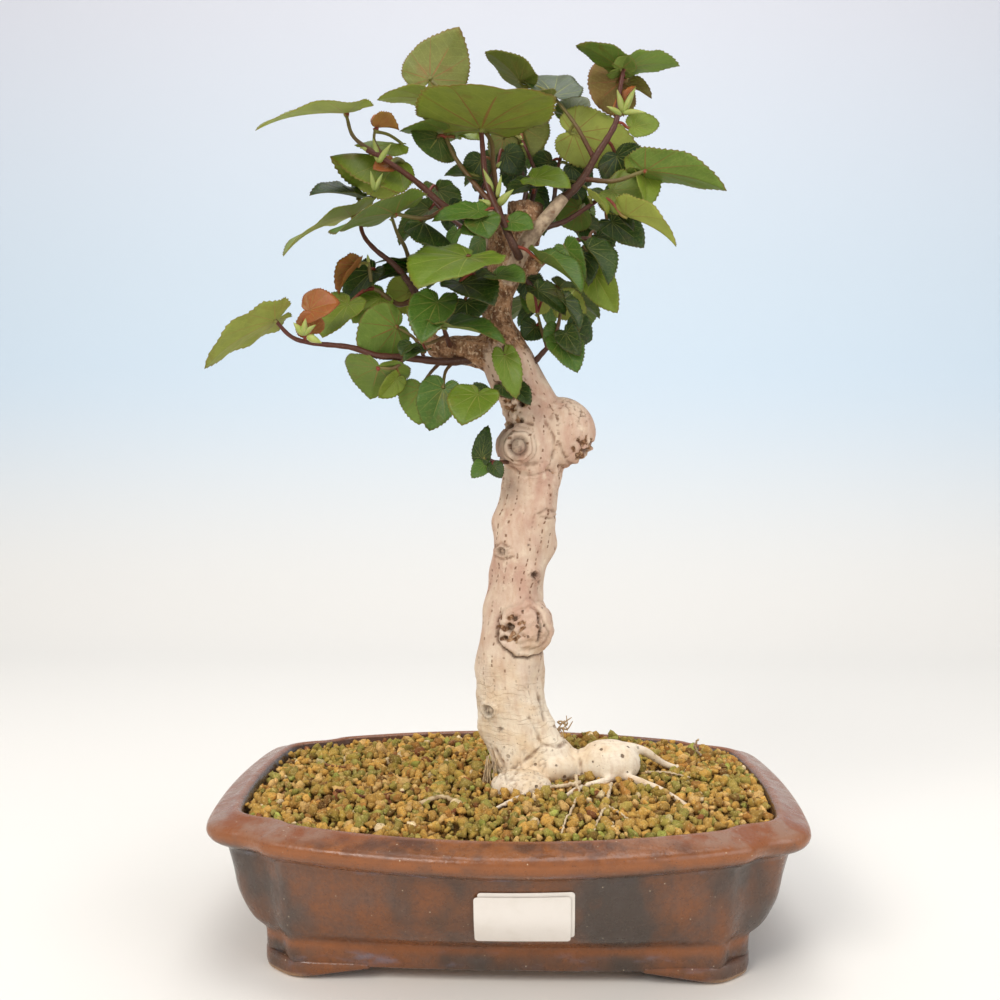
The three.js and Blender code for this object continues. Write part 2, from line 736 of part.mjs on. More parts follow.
// A leaf on its stalk. A stalk that comes from behind the blade grows out of its skin. One that
// comes from beside or ahead is a bar of its own, sunk into the blade.
function leafSolid(stems, [stalkAt, tipAt, width, looks, fold]) {
  const skin = newSkin();
  const notch = place(stalkAt);
  const frame = leafFrame(notch, place(tipAt), looks);
  const stalkRadius = STALK_RADIUS + STALK_GROWTH * width;
  const socket = addBlade(skin, notch, frame, width, fold, stalkRadius);
  const root = nearestOn(stems, notch);
  const toRoot = root.clone().sub(notch);
  const behindShare = -toRoot.clone().normalize().dot(frame.along);
  if (toRoot.length() < SHORT_STALK || behindShare < STRAIGHT_SHARE) {
    addQuad(skin, [...socket].reverse());
    const bar = newSkin();
    const seat = notch.clone().addScaledVector(frame.along, SEAT * stalkRadius);
    addQuad(bar, growBar(bar, new THREE.LineCurve3(root, seat), [0, 1], stalkRadius, stalkRadius));
    return skinSolid(skin).add(skinSolid(bar));
  }
  const behind = notch.clone()
    .addScaledVector(frame.along, -BEHIND * stalkRadius)
    .addScaledVector(frame.up, ABOVE * Math.sign(toRoot.dot(frame.up)) * stalkRadius);
  const last = growBar(skin, new THREE.LineCurve3(root, behind), [0, 1], stalkRadius, stalkRadius);
  tieRings(skin, last, socket, bestTurn(skin, last, socket));
  return skinSolid(skin);
}

const TONES = {
  light: 0x7d9a45,
  green: 0x4c7a2c,
  dark: 0x2f5a22,
  bright: 0x6f9a34,
  olive: 0x6b7a2c,
  bronze: 0x6a5a25,
  orange: 0xb0521c,
};

// Stems: { path, radii }. Leaves: [stalk end, tip, width, way the upper face looks, fold, tone].
const SHOOTS = [
  {
    name: "shoot_left_high",
    stems: [
      {
        path: [
          [-5, 336, 0], [-17, 344, -6], [-30, 351, -10], [-44, 363, -14], [-60, 374, -17],
          [-68, 378, -18],
        ],
        radii: [2.3, 1.4],
      },
      { path: [[-61, 375, -17], [-74, 384, -18], [-78, 395, -18]], radii: [1.2, 1] },
      { path: [[-59, 374, -17], [-64, 382, -16], [-64, 388, -15]], radii: [1, 0.8] },
      { path: [[-29, 350, -10], [-39, 345, -16], [-54, 347, -22]], radii: [1.3, 1.1] },
    ],
    leaves: [
      [[-78, 396, -18], [-123, 389, -34], 46, [-0.1, -0.25, 1], 8, "light"],
      [[-63, 389, -14], [-52, 388, -10], 16, [0, -0.15, 1], 55, "orange"],
      [[-53, 381, -2], [-74, 381, -8], 18, [0, -0.6, 0.8], -20, "light"],
      [[-53, 373, 0], [-86, 376, -10], 46, [0, -0.1, 1], -50, "light"],
      [[-54, 347, -22], [-84, 339, -56], 44, [-0.15, 0.25, 1], 5, "green"],
      [[-40, 343, -8], [-24, 330, -12], 28, [0.6, -0.1, 0.8], -45, "dark"],
    ],
  },
  {
    name: "shoot_top",
    stems: [
      {
        path: [
          [7, 326, -9], [4, 332, -15], [-2, 345, -15], [-7, 356, -11], [-10, 367, -8], [-12, 388, -6],
        ],
        radii: [2.2, 1.4],
      },
      {
        path: [
          [-2, 345, -14], [-4, 355, -6], [-6, 371, 0], [-8, 384, 2], [-20, 396, 2], [-37, 412, 2],
        ],
        radii: [1.6, 1],
      },
      {
        path: [
          [-4, 349, -13], [-17, 364, -4], [-26, 377, 2], [-32, 393, 5], [-34, 401, 6],
        ],
        radii: [1.6, 1],
      },
    ],
    leaves: [
      [[-12, 388, -6], [0, 409, -62], 66, [0, 0.05, 1], 8, "green"],
      [[-37, 412, 2], [-23, 437, 12], 32, [0, 1, 0.1], 6, "olive"],
      [[-36, 402, 6], [-63, 403, 0], 22, [0, 0.15, 1], 6, "light"],
      [[-26, 385, 6], [-52, 388, -6], 28, [0, 0.05, 1], 6, "green"],
      [[-33, 384, 2], [-39, 376, -2], 26, [0, 1, 0.3], 12, "dark"],
      [[-14, 365, 2], [-30, 366, 0], 18, [0, -0.6, 0.8], 15, "dark"],
      [[-12, 373, 2], [-18, 363, 6], 15, [0.3, -1, 0.2], 15, "dark"],
      [[-12, 344, -19], [-8, 335, -24], 18, [0, -0.8, 0.6], 15, "green"],
      [[18, 324, -14], [38, 309, -30], 22, [0.45, -0.45, 0.75], 35, "green"],
    ],
  },
  {
    name: "shoot_right_high",
    stems: [
      {
        path: [
          [28, 354, -4], [37, 363, -4], [44, 375, -5], [51, 386, -5], [54, 393, -5], [55, 404, -4],
          [57, 417, -4],
        ],
        radii: [2.4, 1.2],
      },
      { path: [[43, 374, -4], [34, 390, -1], [23, 404, 2]], radii: [1.3, 1] },
      { path: [[38, 364, -4], [53, 363, -8], [68, 368, -12]], radii: [1.4, 1.1] },
    ],
    leaves: [
      [[23, 404, 2], [12, 414, 30], 32, [0.1, -0.35, 1], 14, "dark"],
      [[7, 411, 0], [-10, 426, -12], 24, [0.45, 0.3, 0.8], 10, "olive"],
      [[57, 417, -4], [84, 419, 6], 20, [0, 0.35, 1], 6, "green"],
      [[56, 417, -4], [34, 429, -12], 20, [0.45, 0.3, 0.85], 6, "green"],
      [[56, 411, 6], [43, 400, 2], 30, [0, 1, 0.3], 16, "bronze"],
      [[62, 389, -2], [75, 391, 2], 13, [0.1, -1, 0.2], 10, "light"],
      [[33, 386, 6], [65, 378, 12], 29, [0, 1, 0.12], 8, "light"],
      [[68, 368, -12], [108, 359, -20], 24, [0, 0.5, 0.86], 20, "green"],
      [[54, 375, 6], [60, 359, 14], 26, [0.1, -1, 0.1], 15, "dark"],
      [[67, 367, -3], [69, 350, -8], 16, [0.5, -0.8, 0.2], 20, "light"],
    ],
  },
  {
    name: "shoot_left_low",
    stems: [
      {
        path: [
          [-17, 276, -4], [-29, 275, -12], [-49, 277, -18], [-63, 278, -22], [-76, 282, -28],
          [-95, 284, -36], [-105, 287, -40], [-113, 295, -42],
        ],
        radii: [2.3, 1.1],
      },
      { path: [[-49, 277, -18], [-54, 272, -20], [-62, 272, -20]], radii: [1.1, 0.9] },
      { path: [[-31, 275, -12], [-36, 270, -11], [-41, 263, -9]], radii: [1, 0.8] },
      { path: [[-25, 275, -10], [-29, 270, -15], [-30, 262, -20]], radii: [1, 0.8] },
      { path: [[-39, 276, -15], [-44, 286, -14], [-53, 292, -16]], radii: [1, 0.8] },
    ],
    leaves: [
      [[-53, 292, -16], [-73, 283, -26], 27, [-0.1, 1, 0.25], 10, "green"],
      [[-96, 300, -34], [-81, 304, -38], 18, [0, -0.9, 0.4], 15, "orange"],
      [[-95, 290, -34], [-99, 300, -36], 14, [0.1, -1, 0.1], 15, "orange"],
      [[-113, 295, -42], [-149, 272, -58], 26, [-0.42, 0.35, 0.8], 10, "light"],
      [[-62, 272, -20], [-66, 257, 0], 32, [0, 0.7, 0.7], 12, "green"],
      [[-41, 262, -9], [-42, 244, -5], 22, [-0.1, 1, 0.2], 10, "green"],
      [[-30, 262, -19], [-37, 241, -20], 22, [-0.1, -1, 0.2], 16, "green"],
    ],
  },
  {
    name: "shoot_right",
    stems: [
      { path: [[17, 340, -5], [28, 343, 0], [35, 347, 0], [41, 351, -2], [48, 356, 0]], radii: [1.7, 1.1] },
    ],
    leaves: [
      [[52, 358, 0], [68, 349, -2], 26, [0, -1, 0.3], 12, "light"],
      [[59, 346, -8], [84, 332, -22], 25, [0.35, 0.2, 0.9], 28, "light"],
      [[48, 352, 0], [63, 339, 2], 18, [0.3, -0.7, 0.6], 25, "dark"],
      [[52, 343, 10], [68, 331, 8], 20, [0.2, -1, 0.3], 15, "dark"],
      [[36, 350, 10], [25, 343, 14], 22, [0, 1, 0.2], 10, "green"],
    ],
  },
  {
    name: "shoot_right_inner",
    stems: [
      { path: [[31, 333, 4], [40, 335, 4], [44, 330, 2], [46, 324, 0]], radii: [1.6, 1] },
    ],
    leaves: [
      [[45, 336, 17], [51, 327, 18], 17, [0, -1, 0], 12, "dark"],
      [[40, 330, -6], [51, 313, -18], 22, [0.55, -0.7, 0.4], 35, "dark"],
      [[30, 330, -4], [39, 314, -8], 17, [-0.5, -0.8, 0.3], 25, "green"],
      [[44, 318, 4], [55, 299, 0], 18, [-0.4, -0.9, 0.2], 20, "light"],
    ],
  },
  {
    name: "shoot_right_low",
    stems: [
      { path: [[13, 273, -4], [21, 282, -6], [27, 287, -6], [33, 290, -4]], radii: [1.7, 1] },
      { path: [[21, 282, -6], [18, 291, -4], [16, 299, -2]], radii: [1.1, 0.8] },
      { path: [[25, 286, -6], [27, 297, -4], [28, 303, -2], [32, 308, 0]], radii: [1.1, 0.8] },
    ],
    leaves: [
      [[18, 306, 2], [12, 300, 0], 14, [0, 1, 0.2], 10, "light"],
      [[16, 310, -8], [30, 298, -14], 15, [0.4, -0.8, 0.4], 18, "dark"],
      [[28, 304, 4], [40, 299, 6], 17, [0, 1, 0.3], 15, "light"],
      [[27, 285, -6], [36, 270, -12], 19, [0.3, -1, 0.2], 20, "green"],
      [[32, 291, -2], [43, 286, -2], 19, [0, -1, 0.2], 12, "dark"],
    ],
  },
  {
    name: "shoot_front",
    stems: [
      {
        path: [
          [-5, 303, -3], [-10, 308, -9], [-13, 314, -14], [-17, 321, -20], [-18, 327, -30],
        ],
        radii: [1.7, 1.1],
      },
    ],
    leaves: [
      [[-18, 326, -30], [-43, 312, -56], 44, [-0.1, -0.55, 0.83], 5, "bright"],
      [[-4, 317, -22], [10, 314, -30], 20, [0.1, -0.6, 0.8], 12, "green"],
      [[-21, 313, -20], [-5, 303, -34], 27, [0, -0.6, 0.8], 16, "dark"],
      [[-19, 304, -12], [-18, 294, -14], 22, [0, -1, 0.1], 8, "dark"],
    ],
  },
  {
    name: "shoot_inner_left",
    stems: [
      { path: [[-7, 350, 2], [-12, 353, 6], [-10, 362, 9], [-4, 370, 10]], radii: [1.3, 0.9] },
    ],
    leaves: [
      [[0, 376, 18], [8, 366, 22], 16, [0, -1, 0.2], 10, "dark"],
      [[-9, 366, 16], [-15, 358, 16], 14, [0, -1, 0.2], 12, "dark"],
    ],
  },
  {
    name: "shoot_inner_middle",
    stems: [
      { path: [[12, 350, 6], [15, 364, 10], [12, 374, 16], [8, 383, 20]], radii: [1.5, 0.9] },
    ],
    leaves: [
      [[14, 364, -4], [32, 360, -12], 20, [0, -0.7, 0.7], 12, "bright"],
      [[8, 389, 22], [14, 374, 22], 26, [0.2, 1, 0.2], 8, "olive"],
      [[-1, 384, 22], [-4, 371, 22], 16, [0.2, 1, 0.1], 8, "olive"],
    ],
  },
  {
    name: "shoot_inner_right",
    stems: [
      {
        path: [
          [23, 347, -4], [24, 356, 5], [25, 366, 10], [27, 375, 13], [30, 386, 13],
        ],
        radii: [1.4, 0.9],
      },
    ],
    leaves: [
      [[31, 394, 18], [38, 404, 25], 18, [-0.3, -1, 0.3], 12, "olive"],
      [[22, 372, 16], [14, 364, 20], 17, [-0.2, -1, 0.3], 12, "dark"],
      [[32, 370, 15], [42, 361, 20], 18, [0.2, -1, 0.3], 14, "dark"],
    ],
  },
  {
    name: "shoot_left_middle",
    stems: [
      {
        path: [
          [-43, 305, 0], [-46, 312, -2], [-54, 322, -4], [-64, 330, -6], [-70, 338, -4], [-72, 351, 0],
        ],
        radii: [1.9, 1],
      },
      { path: [[-43, 306, 1], [-48, 328, 4], [-53, 338, 6], [-56, 347, 8]], radii: [1.6, 0.9] },
      {
        path: [
          [-43, 306, -1], [-52, 303, -6], [-61, 309, -6], [-65, 312, -6], [-67, 324, -6],
        ],
        radii: [1.6, 0.9],
      },
    ],
    leaves: [
      [[-72, 355, 0], [-96, 357, -16], 24, [0, -0.5, 0.86], 15, "dark"],
      [[-75, 346, -8], [-110, 328, -40], 32, [-0.35, 0, 1], 8, "light"],
      [[-61, 306, -3], [-75, 294, -6], 22, [-0.2, -0.8, 0.5], 12, "light"],
      [[-77, 303, -12], [-90, 287, -22], 26, [-0.3, -0.8, 0.5], 12, "light"],
      [[-72, 322, -6], [-82, 308, -10], 16, [-0.3, -0.6, 0.6], 50, "orange"],
      [[-65, 319, 0], [-79, 304, -4], 19, [-0.3, -0.8, 0.4], 15, "dark"],
      [[-47, 320, 4], [-66, 314, 0], 17, [0, -0.6, 0.8], 15, "dark"],
      [[-47, 309, 4], [-58, 303, 2], 20, [0, 1, 0.2], 10, "light"],
    ],
  },
  {
    name: "shoot_limb",
    stems: [
      { path: [[-26, 281, -6], [-28, 286, -13], [-30, 292, -18], [-32, 302, -22]], radii: [1.5, 1] },
    ],
    leaves: [
      [[-33, 304, -24], [-41, 284, -38], 24, [-0.1, -0.85, 0.5], 18, "green"],
      [[-29, 292, -28], [1, 284, -38], 24, [0.1, -0.35, 0.9], 20, "green"],
    ],
  },
  {
    name: "sprout_upper",
    stems: [
      { path: [[3, 258, -9], [-3, 259, -20], [-9, 260, -27]], radii: [1.3, 0.9] },
    ],
    leaves: [
      [[-13, 259, -28], [-21, 244, -38], 25, [-0.3, -0.9, 0.3], 10, "bright"],
    ],
  },
  {
    name: "sprout_burl",
    stems: [
      { path: [[4, 226, -11], [-4, 226, -19], [-9, 228, -21]], radii: [1.2, 0.9] },
    ],
    leaves: [
      [[-11, 228, -20], [-8, 244, -24], 10, [-0.2, -1, 0.1], 12, "dark"],
      [[-9, 225, -20], [-16, 218, -23], 9, [-0.1, -1, 0.3], 10, "green"],
      [[-5, 224, -22], [-1, 218, -25], 8, [0.1, -1, 0.2], 10, "dark"],
    ],
  },
  {
    name: "sprout_neck",
    stems: [
      { path: [[1, 284, -8], [0, 281, -17], [0, 278, -26]], radii: [1.2, 0.9] },
    ],
    leaves: [
      [[0, 278, -26], [6, 257, -34], 13, [0.1, -1, 0.2], 10, "bright"],
    ],
  },
];

// Stems behind the trunk, each with leaves set along it by rule.
const BACK_SHOOTS = [
  {
    name: "shoot_back_top",
    path: [[4, 342, 6], [10, 358, 24], [4, 378, 34], [-6, 392, 42]],
    leaves: 4,
    seed: 11,
  },
  {
    name: "shoot_back_right",
    path: [[9, 334, 6], [20, 340, 22], [34, 346, 38], [46, 354, 50]],
    leaves: 3,
    seed: 23,
  },
  {
    name: "shoot_back_left",
    path: [[-3, 334, 6], [-16, 338, 20], [-28, 346, 34], [-38, 356, 46]],
    leaves: 3,
    seed: 31,
  },
  {
    name: "shoot_back_low",
    path: [[6, 318, 4], [16, 310, 18], [26, 303, 34], [36, 298, 46]],
    leaves: 3,
    seed: 47,
  },
  {
    name: "shoot_back_middle",
    path: [[-1, 326, 6], [-10, 322, 22], [-22, 318, 38], [-30, 320, 54]],
    leaves: 3,
    seed: 59,
  },
];

const BACK_RADII = [1.6, 0.9];

// The share of a back stem without leaves, and the degrees from one leaf to the next.
const BARE_SHARE = 0.42;
const LEAF_TURN = 137;

// Least and extra length of the stalks, the blades and their drop, in millimetres.
const BACK_REACH = [8, 5];
const BACK_BLADE = [22, 10];
const BACK_DROP = [10, 8];

// Leaves that turn round a stem from one to the next and hang to the back.
function backLeaves({ path, leaves, seed }) {
  const next = random(seed);
  const between = ([least, extra]) => least + extra * next();
  const curve = new THREE.CatmullRomCurve3(path.map((p) => new THREE.Vector3(...p)));
  const rows = [];
  for (let i = 0; i < leaves; i += 1) {
    const share = BARE_SHARE + ((1 - BARE_SHARE) * i) / (leaves - 1);
    const spot = curve.getPointAt(share);
    const heading = radians(i * LEAF_TURN + 25 * next());
    const reach = between(BACK_REACH);
    const length = between(BACK_BLADE);
    const side = Math.cos(heading);
    const back = Math.abs(Math.sin(heading)) * 0.8 + 0.2;
    const stalk = [spot.x + reach * side, spot.y + 3, spot.z + reach * back];
    const drop = between(BACK_DROP);
    const tip = [stalk[0] + length * side * 0.8, stalk[1] - drop, stalk[2] + length * back * 0.7];
    rows.push([stalk, tip, length * 0.85, [side * 0.4, back * 0.4, 1], 10, "dark"]);
  }
  return rows;
}

function shootSolid({ name, stems, leaves }, trunk) {
  const parts = stems.map(({ path, radii }) => stemSolid(path, radii));
  for (const leaf of leaves) parts.push(leafSolid(stems, leaf));
  return wholeBody(join(parts).subtract(trunk), name);
}

// The whole plant and pot

function material(color, roughness) {
  return new THREE.MeshStandardMaterial({ color, roughness, metalness: 0 });
}

const group = new THREE.Group();
group.name = "sea_hibiscus_bonsai";

function addPart(name, geometry, look, [x, y, z] = [0, 0, 0]) {
  const mesh = new THREE.Mesh(geometry, look);
  mesh.name = name;
  mesh.position.set(x, y, z);
  group.add(mesh);
}

function addPot() {
  addPart("pot", potGeometry(), material(0x5f5148, 0.4));
  const net = netGeometry();
  for (const [side, x] of [["left", -DRAIN_OFFSET], ["right", DRAIN_OFFSET]]) {
    addPart(`drain_net_${side}`, net, material(0x2a2a2a, 0.6), [x, 0, POT_FLOOR + NET_LIFT]);
  }
  const paper = material(0xe9e4dc, 0.8);
  for (const [name, row] of Object.entries(LABELS)) addPart(name, labelGeometry(row), paper);
}

function addPlant() {
  const fatTrunk = trunkSolid(CLEARANCE);
  const trunk = toGeometry(wholeBody(trunkSolid(0), "trunk"));
  addPart("soil", soilGeometry(fatTrunk.translate(PLANT_SHIFT)), material(0x8d7a3a, 1));
  addPart("trunk", trunk, material(0xd9b99a, 0.85), PLANT_SHIFT);
  for (const shoot of SHOOTS) {
    const look = material(TONES[shoot.leaves[0][5]], 0.6);
    addPart(shoot.name, toGeometry(shootSolid(shoot, fatTrunk)), look, PLANT_SHIFT);
  }
  for (const back of BACK_SHOOTS) {
    const stems = [{ path: back.path, radii: BACK_RADII }];
    const shoot = { name: back.name, stems, leaves: backLeaves(back) };
    const look = material(TONES.dark, 0.6);
    addPart(back.name, toGeometry(shootSolid(shoot, fatTrunk)), look, PLANT_SHIFT);
  }
}

addPot();
addPlant();

export default group;
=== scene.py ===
"""Looks of a sea hibiscus bonsai in its glazed pot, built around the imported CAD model.

Sizes here are in millimetres in the frame of the CAD model, and each mesh is scaled to metres
when it is made. +X is to the right of the front, +Y to the back, +Z up.
"""
import json
import math
import random

import bpy
import numpy as np
from mathutils import Matrix, Vector, noise

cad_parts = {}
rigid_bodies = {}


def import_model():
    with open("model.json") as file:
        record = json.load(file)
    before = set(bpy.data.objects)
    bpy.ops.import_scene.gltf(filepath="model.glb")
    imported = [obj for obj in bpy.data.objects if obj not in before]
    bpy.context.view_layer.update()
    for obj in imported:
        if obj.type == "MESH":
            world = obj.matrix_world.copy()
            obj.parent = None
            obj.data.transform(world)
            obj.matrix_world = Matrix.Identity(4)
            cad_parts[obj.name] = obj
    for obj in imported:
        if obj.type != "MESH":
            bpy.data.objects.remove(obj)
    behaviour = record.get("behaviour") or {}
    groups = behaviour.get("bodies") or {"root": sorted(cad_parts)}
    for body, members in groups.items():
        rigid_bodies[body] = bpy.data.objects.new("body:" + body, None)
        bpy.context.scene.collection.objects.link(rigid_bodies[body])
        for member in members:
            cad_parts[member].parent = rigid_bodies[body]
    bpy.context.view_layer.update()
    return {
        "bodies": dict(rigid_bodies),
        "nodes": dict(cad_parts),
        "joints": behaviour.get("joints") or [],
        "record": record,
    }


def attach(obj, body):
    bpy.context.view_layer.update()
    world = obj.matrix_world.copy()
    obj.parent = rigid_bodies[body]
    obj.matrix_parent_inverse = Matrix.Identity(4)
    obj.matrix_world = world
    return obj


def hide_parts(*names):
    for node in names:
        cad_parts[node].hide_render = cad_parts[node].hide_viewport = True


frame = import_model()

MM = 0.001

# The plant's own sizes are measured from a spot a little to the left of the pot's middle.
PLANT_SHIFT = (-3.5, 0, 0)

# The camera that matches the photograph, seen from the plant's spot
EYE = Vector((12, -566, 226))
FOCAL_MM = 41.4
SENSOR_MM = 36
PITCH = math.radians(1.9)
YAW = math.radians(1.4)
ROLL = math.radians(0.3)

# Driving sizes, as in the part's source
POT_LENGTH = 277
POT_WIDTH = 220
POT_BASE = 6
POT_FLOOR = 16
SIDE_SWELL = 4
FACE_SWELL = 20
DRAIN_RADIUS = 9
DRAIN_OFFSET = 55
HALF_LENGTH = POT_LENGTH / 2
HALF_WIDTH = POT_WIDTH / 2
SOIL_EDGE = 66


def add_camera():
    """Stands the camera at EYE, turned and tilted as in the photograph."""
    forward = Vector((0, math.cos(PITCH), -math.sin(PITCH)))
    upward = Vector((0, math.sin(PITCH), math.cos(PITCH)))
    turn = Matrix.Rotation(YAW, 3, "Z")
    forward, upward, right = turn @ forward, turn @ upward, turn @ Vector((1, 0, 0))
    image_right = right * math.cos(ROLL) + upward * math.sin(ROLL)
    image_up = upward * math.cos(ROLL) - right * math.sin(ROLL)
    data = bpy.data.cameras.new("camera")
    data.lens = FOCAL_MM
    data.sensor_width = SENSOR_MM
    data.clip_start = 0.01
    camera = add_object("camera", data)
    axes = Matrix((image_right, image_up, -forward)).transposed()
    camera.matrix_world = Matrix.Translation((EYE + Vector(PLANT_SHIFT)) * MM) @ axes.to_4x4()
    bpy.context.scene.camera = camera


# Colour and shader helpers

def linear(code):
    """The linear colour of a six-digit code such as 4c7a2c."""
    parts = [int(code[i:i + 2], 16) / 255 for i in (0, 2, 4)]
    return tuple(p / 12.92 if p <= 0.04045 else ((p + 0.055) / 1.055) ** 2.4 for p in parts) + (1,)


def tone_of(code):
    """The linear colour of a code as three numbers, for points to carry."""
    return np.array(linear(code)[:3])


class Shader:
    """A material whose nodes are added one by one, each call returning an output socket."""

    def __init__(self, name, **settings):
        self.material = bpy.data.materials.new(name)
        self.material.use_nodes = True
        self.tree = self.material.node_tree
        self.surface = self.tree.nodes["Principled BSDF"]
        for socket, value in settings.items():
            self.surface.inputs[socket.replace("_", " ")].default_value = value
        self.place = self.add("TexCoord").outputs["Object"]

    def fill(self, socket, value):
        """Gives an input another socket, a plain value or a colour by its code."""
        if isinstance(value, bpy.types.NodeSocket):
            self.tree.links.new(value, socket)
        else:
            socket.default_value = linear(value) if isinstance(value, str) else value

    def add(self, kind, inputs=None, **settings):
        node = self.tree.nodes.new("ShaderNode" + kind)
        for key, value in settings.items():
            setattr(node, key, value)
        for key, value in (inputs or {}).items():
            self.fill(node.inputs[key], value)
        return node

    def math(self, operation, a, b=0.0):
        """One sum, of a kind that the methods below name where it comes often."""
        return self.add("Math", {0: a, 1: b}, operation=operation).outputs[0]

    def plus(self, a, b):
        return self.math("ADD", a, b)

    def minus(self, a, b):
        return self.math("SUBTRACT", a, b)

    def times(self, a, b):
        return self.math("MULTIPLY", a, b)

    def most(self, a, b):
        return self.math("MAXIMUM", a, b)

    def size_of(self, a):
        return self.math("ABSOLUTE", a)

    def axis(self, vector, number):
        return self.add("SeparateXYZ", {0: vector}).outputs[number]

    def mix(self, share, a, b):
        return self.add("Mix", {0: share, 6: a, 7: b}, data_type="RGBA").outputs[2]

    def step(self, value, low, high, start=0.0, end=1.0):
        """Runs softly from start to end while the value goes from low to high."""
        inputs = {"Value": value, "From Min": low, "From Max": high, "To Min": start, "To Max": end}
        return self.add("MapRange", inputs, interpolation_type="SMOOTHSTEP").outputs[0]

    def noise(self, size, detail=3, roughness=0.55, stretch=(1, 1, 1), vector=None):
        """Noise whose features are about size millimetres across."""
        scale = tuple(s / (size * MM) for s in stretch) if vector is None else stretch
        mapping = self.add("Mapping", {"Vector": vector or self.place, "Scale": scale})
        inputs = {"Vector": mapping.outputs[0], "Scale": 1 if vector is None else 1 / size,
                  "Detail": detail, "Roughness": roughness}
        return self.add("TexNoise", inputs).outputs["Fac"]

    def blots(self, size, detail, low, high, start=0.0, end=1.0):
        """Soft-edged patches of noise, from start to end."""
        return self.step(self.noise(size, detail), low, high, start, end)

    def cells(self, size, feature="F1", vector=None, stretch=(1, 1, 1)):
        """Scattered cells about size millimetres across."""
        mapping = self.add("Mapping", {"Vector": vector or self.place, "Scale": stretch})
        scale = 1 / (size * MM) if vector is None else 1 / size
        inputs = {"Vector": mapping.outputs[0], "Scale": scale, "Randomness": 1.0}
        return self.add("TexVoronoi", inputs, feature=feature)

    def value(self, name):
        """A number that the points of the mesh carry."""
        return self.add("Attribute", attribute_name=name).outputs["Fac"]

    def tint(self, name):
        """A colour that the points of the mesh carry."""
        return self.add("Attribute", attribute_name=name).outputs["Color"]

    def finish(self, color, roughness, *bumps):
        """Sets colour and roughness, and stacks bumps given as (height socket, millimetres)."""
        self.fill(self.surface.inputs["Base Color"], color)
        self.fill(self.surface.inputs["Roughness"], roughness)
        normal = None
        for height, depth in bumps:
            inputs = {"Height": height, "Distance": depth * MM, "Strength": 1.0}
            if normal is not None:
                inputs["Normal"] = normal
            normal = self.add("Bump", inputs).outputs[0]
        if normal is not None:
            self.fill(self.surface.inputs["Normal"], normal)
        return self.material


# Mesh helpers

def write_value(mesh, key, parts):
    """Writes what points carry as a texture layer, colour or number, by how wide it is.

    Each part of it comes with the number of its first point.
    """
    width = parts[0][1].shape[1] if parts[0][1].ndim == 2 else 1
    data = np.zeros((len(mesh.vertices), width))
    for first, part in parts:
        data[first:first + len(part)] = part.reshape(len(part), width)
    if width == 2:
        layer = mesh.uv_layers.new(name=key)
        corners = np.zeros(len(mesh.loops), int)
        mesh.loops.foreach_get("vertex_index", corners)
        layer.data.foreach_set("uv", data[corners].ravel())
    elif width == 3:
        layer = mesh.attributes.new(key, "FLOAT_COLOR", "POINT")
        layer.data.foreach_set("color", np.hstack([data, np.ones((len(data), 1))]).ravel())
    else:
        layer = mesh.attributes.new(key, "FLOAT", "POINT")
        layer.data.foreach_set("value", data.ravel())


class Mesh:
    """Collects points in millimetres, faces and point attributes, and makes one object of them."""

    def __init__(self):
        self.points = []
        self.faces = []
        self.slots = []
        self.values = {}
        self.count = 0

    def add(self, points, faces, slot=0, **values):
        """Adds points and faces, with values given once or for each point."""
        points = np.asarray(points, float)
        self.points.append(points)
        self.faces.extend(tuple(i + self.count for i in face) for face in faces)
        self.slots.extend([slot] * len(faces))
        for name, value in values.items():
            data = np.asarray(value, float)
            if data.ndim == 0 or (data.ndim == 1 and len(data) != len(points)):
                data = np.broadcast_to(data, (len(points),) + data.shape)
            self.values.setdefault(name, []).append((self.count, data))
        self.count += len(points)

    def build(self, name, materials, shift=(0, 0, 0)):
        """Makes the smooth-shaded object, in metres."""
        mesh = bpy.data.meshes.new(name)
        mesh.from_pydata(((np.concatenate(self.points) + shift) * MM).tolist(), [], self.faces)
        for material in materials:
            mesh.materials.append(material)
        mesh.polygons.foreach_set("material_index", self.slots)
        mesh.polygons.foreach_set("use_smooth", [True] * len(mesh.polygons))
        for key, parts in self.values.items():
            write_value(mesh, key, parts)
        mesh.update()
        return add_object(name, mesh)


def settle(piece, nodes=()):
    """Makes a piece ride on the part and stand for its CAD nodes."""
    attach(piece, "root")
    if nodes:
        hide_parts(*nodes)


def grid_faces(rows, count, closed=True, start=0):
    """Quads between rows of count points each, one row after the other."""
    faces = []
    for r in range(rows - 1):
        for i in range(count if closed else count - 1):
            j = (i + 1) % count
            a, b = start + r * count, start + (r + 1) * count
            faces.append((a + i, a + j, b + j, b + i))
    return faces


def end_faces(rows, count):
    """The two flat ends of such rows."""
    return [tuple(range(count))[::-1], tuple(range((rows - 1) * count, rows * count))]


# Steps between two given points of a smooth line
CURVE_STEPS = 12


